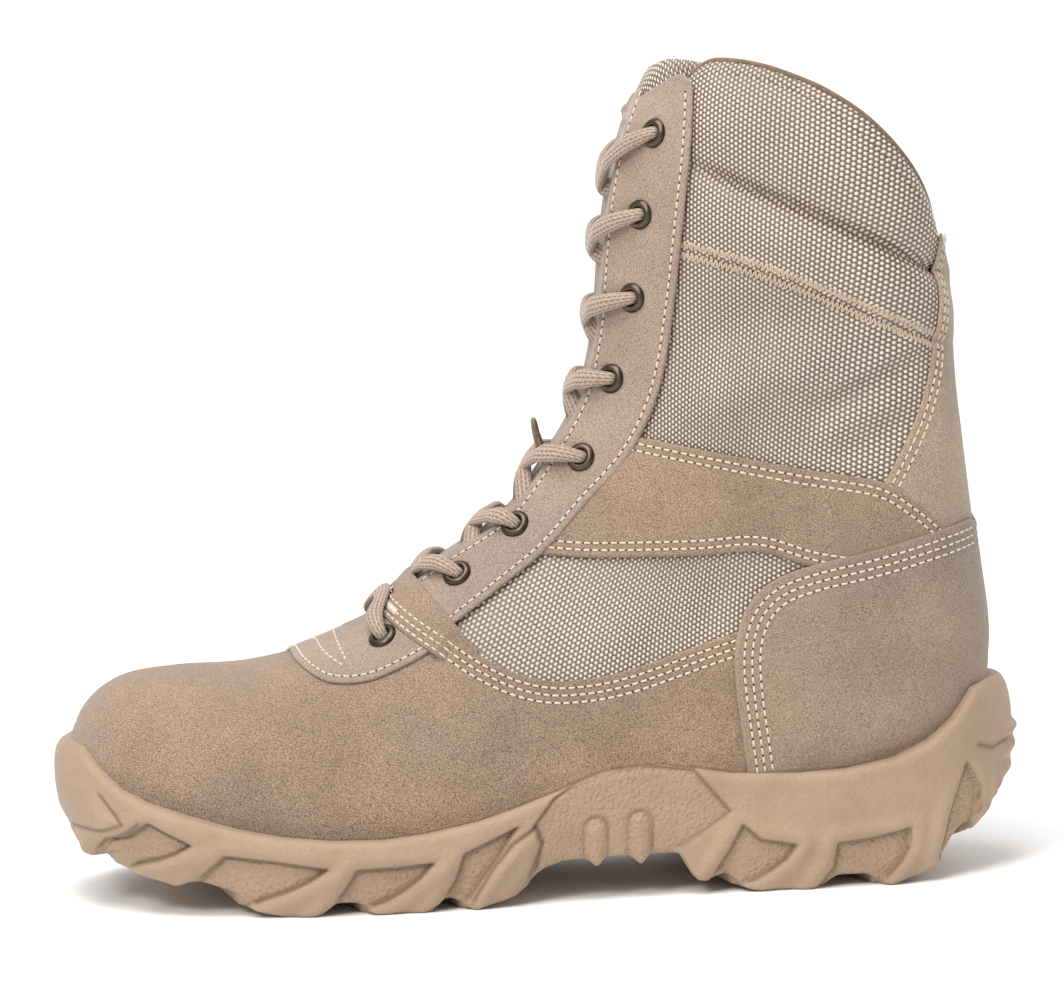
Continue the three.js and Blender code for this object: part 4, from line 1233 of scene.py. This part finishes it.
tongue_across = np.linspace(-1, 1, tongue_columns)[None, :]
tongue_crown = (15.14 - 0.6 * np.abs(tongue_across) ** 2.6
                + 0.24 * np.exp(-(tongue_across / 0.42) ** 2))
climb = np.linspace(0, 1, tongue_rows)[:, None]
rim_angle = np.linspace(0, np.pi, 11)[1:-1, None]
half_thick = tongue_thickness / 2 * np.sqrt(1 - np.abs(tongue_across) ** 4)
outer_u = tongue_foot + climb * (tongue_crown - tongue_foot)
rim_u = tongue_crown + np.sin(rim_angle) * half_thick / station_spacing
tongue_u = np.concatenate([outer_u, rim_u, outer_u[::-1]])
inwards = np.concatenate([np.full((tongue_rows, 1), 0.0), 1 - np.cos(rim_angle),
                          np.full((tongue_rows, 1), 2.0)]) * half_thick
tongue_w = tongue_share * tongue_across * smooth(4.8, 6.4, tongue_u)
tongue_places = np.stack([tongue_u, tongue_w], -1)
tongue_edge = 2 * np.abs(tongue_across) ** 6
tongue_points = on_last(tongue_places, tongue_lift(tongue_places) - inwards - tongue_edge)
tongue = mesh_object("tongue_pad", tongue_points.reshape(-1, 3),
                     grid_faces(len(tongue_u), tongue_columns)[:, ::-1], nylon)
set_uv(tongue, np.stack([tongue_w * around_leg, run_length(tongue_points)], -1).reshape(-1, 2))
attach(tongue, "root")
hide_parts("tongue")

# ---- Collar and lining: the rolled top edge and the inside ---------------------------------------
# The nylon turns over the foam at the collar and meets the lining, a soft knitted mesh, at a thin
# brown binding. The lining covers the whole inside, down to the insole.
thin_lining, thick_lining = -2.2, -7.0
roll_angle = np.linspace(0, np.pi, 15)
collar_columns = 300
collar_run = quarter_grid(np.full(1, roll_start), collar_columns)[0]


def inner_lift(uw):
    """The lining's depth: thin at the throat's edge, thick where the collar and shaft are padded."""
    from_edge = np.abs(np.mod(uw[..., 1] + 1, 2) - 1) - throat_share(uw[..., 0])
    padded_share = smooth(0.0, 0.14, from_edge) * smooth(10.5, 13.0, uw[..., 0])
    return thin_lining + (thick_lining - thin_lining) * padded_share


roll_outer = padding(sample(last_points, collar_run))
roll_inner = inner_lift(collar_run)
roll_middle, roll_half = (roll_outer + roll_inner) / 2, (roll_outer - roll_inner) / 2
roll_u = collar_run[:, 0] + np.sin(roll_angle)[:, None] * (0.04 + roll_half / station_spacing)
roll_places = np.stack([roll_u, np.repeat(collar_run[None, :, 1], len(roll_angle), 0)], -1)
roll_points = on_last(roll_places, roll_middle + roll_half * np.cos(roll_angle)[:, None])
collar_roll = mesh_object("collar_roll", roll_points.reshape(-1, 3),
                          grid_faces(len(roll_angle), collar_columns), nylon)
roll_length = run_length(roll_points)
roll_uv = unrolled(roll_points[0])[None] + np.stack([0 * roll_length, roll_length], -1)
set_uv(collar_roll, roll_uv.reshape(-1, 2))
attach(collar_roll, "root")
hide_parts("upper")


def tube(line, radii, columns, across, closed_ends=True):
    """A tube along a line of points, oval where it is given two radii, with capped ends. `across`
    gives the direction of the first radius at each point."""
    run = unit(np.gradient(line, axis=0))
    first = unit(across - (across * run).sum(1, keepdims=True) * run)
    second = np.cross(run, first)
    angle = np.linspace(0, 2 * np.pi, columns, endpoint=False)
    ring = (radii[:, :1, None] * np.cos(angle)[None, :, None] * first[:, None]
            + radii[:, 1:2, None] * np.sin(angle)[None, :, None] * second[:, None])
    points = line[:, None] + ring
    if closed_ends:
        points = np.concatenate([np.repeat(line[None, :1], columns, 1), points,
                                 np.repeat(line[None, -1:], columns, 1)])
    return points, angle


binding, binding_surface = shader("brown_binding", 0.75, Sheen_Weight=0.3)
paint(binding, binding_surface,
      clouded(binding, 700, 2, [(0.3, (0.12, 0.075, 0.045)), (0.7, (0.22, 0.145, 0.09))]))
binding_row, binding_radius, binding_columns = 5, 0.8, 8
binding_lift = roll_middle + roll_half * np.cos(roll_angle[binding_row]) + 0.1
binding_points, _ = tube(on_last(roll_places[binding_row], binding_lift),
                         np.full((collar_columns, 2), binding_radius), binding_columns,
                         np.repeat(collar_up[None], collar_columns, 0))
piping = mesh_object("collar_binding", binding_points.reshape(-1, 3),
                     grid_faces(len(binding_points), binding_columns, wrap=True), binding)
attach(piping, "root")

lining_cloth, lining_surface = shader("knitted_lining", 0.85, Sheen_Weight=0.4)
knit = texture(lining_cloth, "Voronoi", "Distance", Scale=520)
paint(lining_cloth, lining_surface,
      ramp(lining_cloth, knit, [(0.1, (0.13, 0.095, 0.065)), (0.5, (0.42, 0.33, 0.24))]))
add_bump(lining_cloth, lining_surface, knit, 0.5)
leg_places = quarter_grid(np.linspace(roll_start, 5.6, 120), 160)
foot_places = every_pair(np.linspace(5.75, 0.22, 90), np.linspace(-1, 1, 180))
for name, grid in (("leg_lining", leg_places), ("foot_lining", foot_places)):
    lining = mesh_object(name, on_floor(on_last(grid, inner_lift(grid))).reshape(-1, 3),
                         punched(grid_faces(*grid.shape[:2]), grid), lining_cloth)
    wall(lining, 0.5)
    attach(lining, "root")
    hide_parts("upper")

# ---- Insole: brushed foam sheet ------------------------------------------------------------------
# The loose insole, a sheet of foam with a brushed face, lies on the sole's inner floor. It keeps
# the frame's own shape, and only takes a finish here.
insole_cloth, insole_surface = shader("brushed_insole", 0.9, Sheen_Weight=0.4)
felt = noise(insole_cloth, 1200, 3)
paint(insole_cloth, insole_surface,
      ramp(insole_cloth, felt, [(0.3, (0.10, 0.085, 0.07)), (0.7, (0.19, 0.16, 0.13))]))
add_bump(insole_cloth, insole_surface, felt, 0.3)
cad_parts["insole"].data.materials.clear()
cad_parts["insole"].data.materials.append(insole_cloth)

# ---- Eyelets: antique brass ----------------------------------------------------------------------
# Each eyelet is one turned profile: a barrel through the wall that rolls over into a washer on the
# facing. The finish is dark brass, rubbed brighter on the crown.
eyelet_profile = np.array([[2.3, -3.4], [2.25, -1.0], [2.3, 0.2], [2.5, 0.75], [2.85, 1.08],
                           [3.3, 1.15], [3.8, 0.95], [4.25, 0.62], [4.6, 0.3], [4.7, 0.02],
                           [4.6, -0.35], [2.75, -0.4], [2.7, -3.4]])
eyelet_crown = np.clip(eyelet_profile[:, 1] - 0.3, 0, 0.8)
brass, brass_surface = shader("antique_brass", 0.36, Metallic=0.92)
tarnish = clouded(brass, 420, 3, [(0.35, (0.034, 0.026, 0.02)), (0.75, (0.075, 0.055, 0.038))])
rubbed = mixed(brass, painted_value(brass, "crown"), tarnish, (0.13, 0.096, 0.066))
paint(brass, brass_surface, rubbed)
add_bump(brass, brass_surface, noise(brass, 900, 2), 0.06)
round_angle = np.linspace(0, 2 * np.pi, 40, endpoint=False)[:, None]
for side, side_name in ((-1, "lateral"), (1, "medial")):
    for number, (u, w) in enumerate(eyelet_uw[side], 1):
        place = np.array([u, w])
        out = sample(last_normals, place)
        centre = sample(last_points, place) + out * (facing_lift + 0.1)
        ring = ring_about(out, [0, 0, 1.0], round_angle)
        points = centre + eyelet_profile[:, :1, None] * ring[None] + eyelet_profile[:, 1:, None] * out
        eyelet = mesh_object(f"brass_eyelet_{side_name}_{number}", points.reshape(-1, 3),
                             grid_faces(len(eyelet_profile), len(round_angle), wrap=True), brass)
        set_value(eyelet, "crown", np.repeat(eyelet_crown, len(round_angle)))
        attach(eyelet, "root")
        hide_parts(f"eyelet_{side_name}_{number}")

# ---- Lace: one flat oval braid through all sixteen eyelets ---------------------------------------
# The lace starts inside at the lateral top eyelet and ends inside at the medial one. Every strand
# leaves an eyelet over the facing, crosses the throat and goes in under the other facing to the
# eyelet below. A slightly slack bar joins the two lowest eyelets on the outside.
lace_half_width, lace_half_height = 3.15, 1.5
rib_pitch = 1.8
plait_columns = 12
lace_step, lace_columns = 0.45, 48
eyelets_a_side = len(eyelet_places)


def lace_stop(uw, lift, size):
    """A point on the lace's way: where it is, which way its width lies, and its two half sizes."""
    uw = np.asarray(uw, float)
    return np.concatenate([on_last(uw, lift), unit(sample(along_last, uw)), size])


def between(first, second, share):
    """A place part of the way over the front of the boot from one place to another."""
    return first + (second - first) * share


bunched, squashed, free = [2.0, 1.7], [3.0, 1.05], [lace_half_width, lace_half_height]


def lacing(side, level, last_level):
    """The stops of the lace from one top eyelet down to its lowest, from inside to outside."""
    stops = [lace_stop(eyelet_uw[side][level] + [0, side * 0.03], -4.6, squashed)]
    while level >= 0:
        here = eyelet_uw[side][level]
        stops += [lace_stop(here, lift, bunched) for lift in (-2.6, 0.2, 3.0)]
        if level == last_level:
            return stops
        there = eyelet_uw[-side][level - 1]
        edge = throat_share(here[:1])[0]
        over = (abs(here[1]) - edge) / (abs(here[1]) + abs(there[1]))
        edge_there = throat_share(there[:1])[0]
        under = 1 - (abs(there[1]) - edge_there) / (abs(here[1]) + abs(there[1]))
        stops += [lace_stop(between(here, there, over * 0.42), 5.2, [2.6, 1.6]),
                  lace_stop(between(here, there, over * 0.85), 4.9, free),
                  lace_stop(between(here, there, over + 0.06), 3.6, free),
                  lace_stop(between(here, there, (over + under) / 2), 0.4, free),
                  lace_stop(between(here, there, under - 0.03), -2.3, squashed),
                  lace_stop(between(here, there, 0.5 + under / 2), -3.1, squashed)]
        side, level = -side, level - 1
    return stops


def bar_half(side):
    """The bar's stops on one side, from its eyelet over the facing to the middle."""
    u, w = eyelet_uw[side][0]
    return [lace_stop([u, w * 0.9], 4.9, [2.4, 1.7]), lace_stop([u + 0.05, w * 0.66], 5.4, free),
            lace_stop([u + 0.22, w * 0.3], 4.4, free)]


bar = bar_half(1) + bar_half(-1)[::-1]
top_level = eyelets_a_side - 1
first_half, second_half = lacing(-1, top_level, 0), lacing(1, top_level, 0)
stops = np.array(first_half + bar + second_half[::-1])
lace_line = splined(stops, 24)
lace_line = even(lace_line, lace_step, lace_line[:, :3])
lace_length = np.arange(len(lace_line)) * lace_step
lace_points, lace_angle = tube(lace_line[:, :3], lace_line[:, 6:8], lace_columns, lace_line[:, 3:6],
                               closed_ends=False)
column_place = lace_angle[None, :] * plait_columns / (2 * np.pi)
slant = np.abs(np.mod(column_place, 2) - 1)
yarns = np.cos(2 * np.pi * (lace_length[:, None] / rib_pitch + 1.1 * slant))
furrow = np.abs(np.sin(np.pi * column_place)) ** 0.5
# The plait value gives the braid its small relief and also the painted shade of its furrows.
plait = furrow * (0.62 + 0.38 * yarns)
swell = 1 + 0.075 * (plait - 0.6) * np.minimum(1, lace_line[:, 7:8] / 1.2)
lace_points = lace_line[:, None, :3] + (lace_points - lace_line[:, None, :3]) * swell[..., None]
lace_points = np.concatenate([np.repeat(lace_line[None, :1, :3], lace_columns, 1), lace_points,
                              np.repeat(lace_line[None, -1:, :3], lace_columns, 1)])
braid, braid_surface = shader("lace_braid", 0.72, Sheen_Weight=0.35, Sheen_Roughness=0.4)
# The plait value picks the colour: the yarn's own brown on the ribs, falling to a near-black painted
# shade in the furrows between the plaits.
yarn = ramp(braid, painted_value(braid, "plait"),
            [(0.05, (0.17, 0.12, 0.088)), (0.4, (0.36, 0.27, 0.205)), (0.85, (0.49, 0.385, 0.30))])
handled = clouded(braid, 900, 2, [(0.3, (0.82, 0.81, 0.8)), (0.7, (1.08, 1.06, 1.05))])
paint(braid, braid_surface, yarn, handled)
add_bump(braid, braid_surface, noise(braid, 2200, 2), 0.12)
lace = mesh_object("lace", lace_points.reshape(-1, 3),
                   grid_faces(len(lace_points), lace_columns, wrap=True), braid)
set_value(lace, "plait", np.concatenate([plait[:1], plait, plait[-1:]]))
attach(lace, "root")
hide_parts("lace_bar", *[f"lace_crossing_{k}" for k in range(1, eyelets_a_side)])

# ---- Tongue loop: thin cord ----------------------------------------------------------------------
# A small loop of brown cord, sewn into the tongue's middle, stands up between two strands of the
# lace, and keeps the tongue from sliding.
thin = [0.7, 0.7]
loop_columns = 10
loop_stops = np.array([lace_stop([u, w], lift, thin) for u, w, lift in (
    (8.9, -0.03, -4.5), (8.95, -0.03, -0.5), (9.08, -0.03, 3.6), (9.24, -0.026, 7.2),
    (9.34, -0.02, 8.2), (9.32, -0.014, 6.4), (9.2, -0.01, 3.0), (9.1, -0.01, -0.5),
    (9.05, -0.01, -4.5))])
loop_line = splined(loop_stops, 10)
loop_points, _ = tube(loop_line[:, :3], loop_line[:, 6:8], loop_columns, loop_line[:, 3:6])
lace_loop = mesh_object("tongue_loop", loop_points.reshape(-1, 3),
                        grid_faces(len(loop_points), loop_columns, wrap=True), binding)
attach(lace_loop, "root")

# ---- Vamp corners: suede over the facing's lower end ---------------------------------------------
# On each side the vamp's upper corner crosses the facing between the first two eyelets. The vamp's
# three rows run on over it, and end in a bar of close stitches at the throat.
corner_guide = [[-50, 99.5], [-46.9, 96.2], [-40, 89.9], [-32.7, 84.6], [-26, 80.5], [-20, 76.5]]
corner_top = [[-43.5, 105.5], [-40, 101.5], [-36, 96.5], [-30.5, 89.5], [-25.5, 83.5], [-20, 77.8]]
corner_depth = 8.4
tack_step, tack_half = 0.6, 1.6


def corner_rise(uw):
    """Lift of the vamp's corner: over the facing, then down to the vamp behind its edge."""
    x, z = np.moveaxis(side_view(uw), -1, 0)
    past_facing = (x + 33) * 0.75 - (z - 79) * 0.66
    return vamp_lift - 0.25 + (facing_lift + 1.15 - vamp_lift) * smooth(5.5, 0.5, past_facing)


for side, side_name in ((-1, "lateral"), (1, "medial")):
    upper_edge = drawn(corner_top, side)
    guide = drawn(corner_guide, side)
    lower_edge = beside(guide, side * corner_depth)
    outline = [upper_edge, np.stack([upper_edge[-1], lower_edge[-1]]), lower_edge[::-1],
               np.stack([lower_edge[0], upper_edge[0]])]
    cut_piece(f"vamp_corner_{side_name}", outline, corner_rise, 1.2, vamp_suede,
              [0.35, 0.8, 1.5, 2.4, 3.3, 4.0], rows=vamp_rows[:1], spacing=1.4)
    sew_edge(drawn(corner_guide[1:5], side), side, vamp_rows,
             lambda uw: np.maximum(corner_rise(uw), vamp_lift))
    tack = paced(beside(guide[2:10], side * 4.7), tack_step)
    seams.append((zigzag(tack, tack_half), corner_rise))

# ---- Stitching: bonded thread, and painted shade for its needle holes ----------------------------
# Lock stitches along every sewn edge, each a short raised capsule that dips into the leather at
# both ends; between one stitch and the next, a near-black disc is painted shade for the needle hole.
thread_radius = 0.34
thread, thread_surface = shader("cream_thread", 0.6, Sheen_Weight=0.3)
thread_surface.inputs["Base Color"].default_value = (0.66, 0.56, 0.43, 1)
quilt_thread, quilt_surface = shader("olive_thread", 0.6, Sheen_Weight=0.3)
quilt_surface.inputs["Base Color"].default_value = (0.52, 0.42, 0.305, 1)
# Painted shade: the needle holes are near-black discs laid on the surface, with no hole cut.
hole_painted_shade, hole_surface = shader("needle_hole_painted_shade", 0.9)
hole_surface.inputs["Base Color"].default_value = (0.05, 0.035, 0.025, 1)


def capsules(centre, run, out, length, radius):
    """Many capsules at once: five hexagonal rings along each, with the middle one highest and the
    small end ones sunk below the surface."""
    side = np.cross(out, run)
    along = np.array([-0.5, -0.36, 0.0, 0.36, 0.5])
    size = np.array([0.25, 0.9, 1.0, 0.9, 0.25])
    height = radius * np.array([-0.9, 0.1, 0.45, 0.1, -0.9])
    angle = np.arange(6) * np.pi / 3
    round_it = (np.cos(angle)[:, None] * side[:, None, None]
                + np.sin(angle)[:, None] * out[:, None, None])
    shape = (centre[:, None, None] + run[:, None, None] * (along[None] * length)[..., None, None]
             + out[:, None, None] * height[:, None, None] + radius * size[:, None, None] * round_it)
    one = grid_faces(len(along), len(angle), wrap=True)
    faces = one[None] + len(along) * len(angle) * np.arange(len(centre))[:, None, None]
    return shape.reshape(-1, 3), faces.reshape(-1, 4)


def shadow_discs(centre, run, out, radius):
    """Many small eight-sided discs, each two quads wide, a hair above the surface, painted near-black as
    the needle holes' shade.
    """
    side = np.cross(out, run)
    angle = np.arange(8) * np.pi / 4
    ring = centre[:, None] + radius * (np.cos(angle)[None, :, None] * run[:, None] * 0.8
                                       + np.sin(angle)[None, :, None] * side[:, None])
    quads = np.array([[0, 1, 2, 3], [0, 3, 4, 7], [4, 5, 6, 7]])
    return ring.reshape(-1, 3), (quads[None] + 8 * np.arange(len(centre))[:, None, None]).reshape(-1, 4)


def sewn(line, lift):
    """The middles, directions and lengths of one row's stitches, with the surface's normals there;
    then the same for its holes."""
    heights = lift(line) if callable(lift) else np.full(len(line), lift)
    ends = on_last(line, heights - 0.2)
    run = np.diff(ends, axis=0)
    length = np.linalg.norm(run, axis=1, keepdims=True)
    out = sample(last_normals, line)
    middle_out = sample(last_normals, (line[1:] + line[:-1]) / 2)
    hole_run = unit(np.gradient(ends, axis=0))
    stitches = ((ends[1:] + ends[:-1]) / 2, run / length, middle_out, length - 0.55)
    return stitches, (ends - 0.02 * out, hole_run, out)


def joined(groups):
    """One set of vertices and faces from several."""
    offset, vertices, faces = 0, [], []
    for points, quads in groups:
        vertices.append(points)
        faces.append(quads + offset)
        offset += len(points)
    return np.concatenate(vertices), np.concatenate(faces)


stitch_groups, hole_groups = [], []
for line, lift in seams:
    stitches, gaps = sewn(line, lift)
    stitch_groups.append(capsules(*stitches, thread_radius))
    hole_groups.append(shadow_discs(*gaps, 0.5))
stitching = mesh_object("stitching", *joined(stitch_groups), thread)
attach(stitching, "root")
quilted = mesh_object("quilting", *joined([capsules(*sewn(*row)[0], thread_radius) for row in quilting]),
                      quilt_thread)
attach(quilted, "root")
painted_needle_hole_shadows = mesh_object("painted_needle_hole_shadows", *joined(hole_groups), hole_painted_shade)
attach(painted_needle_hole_shadows, "root")
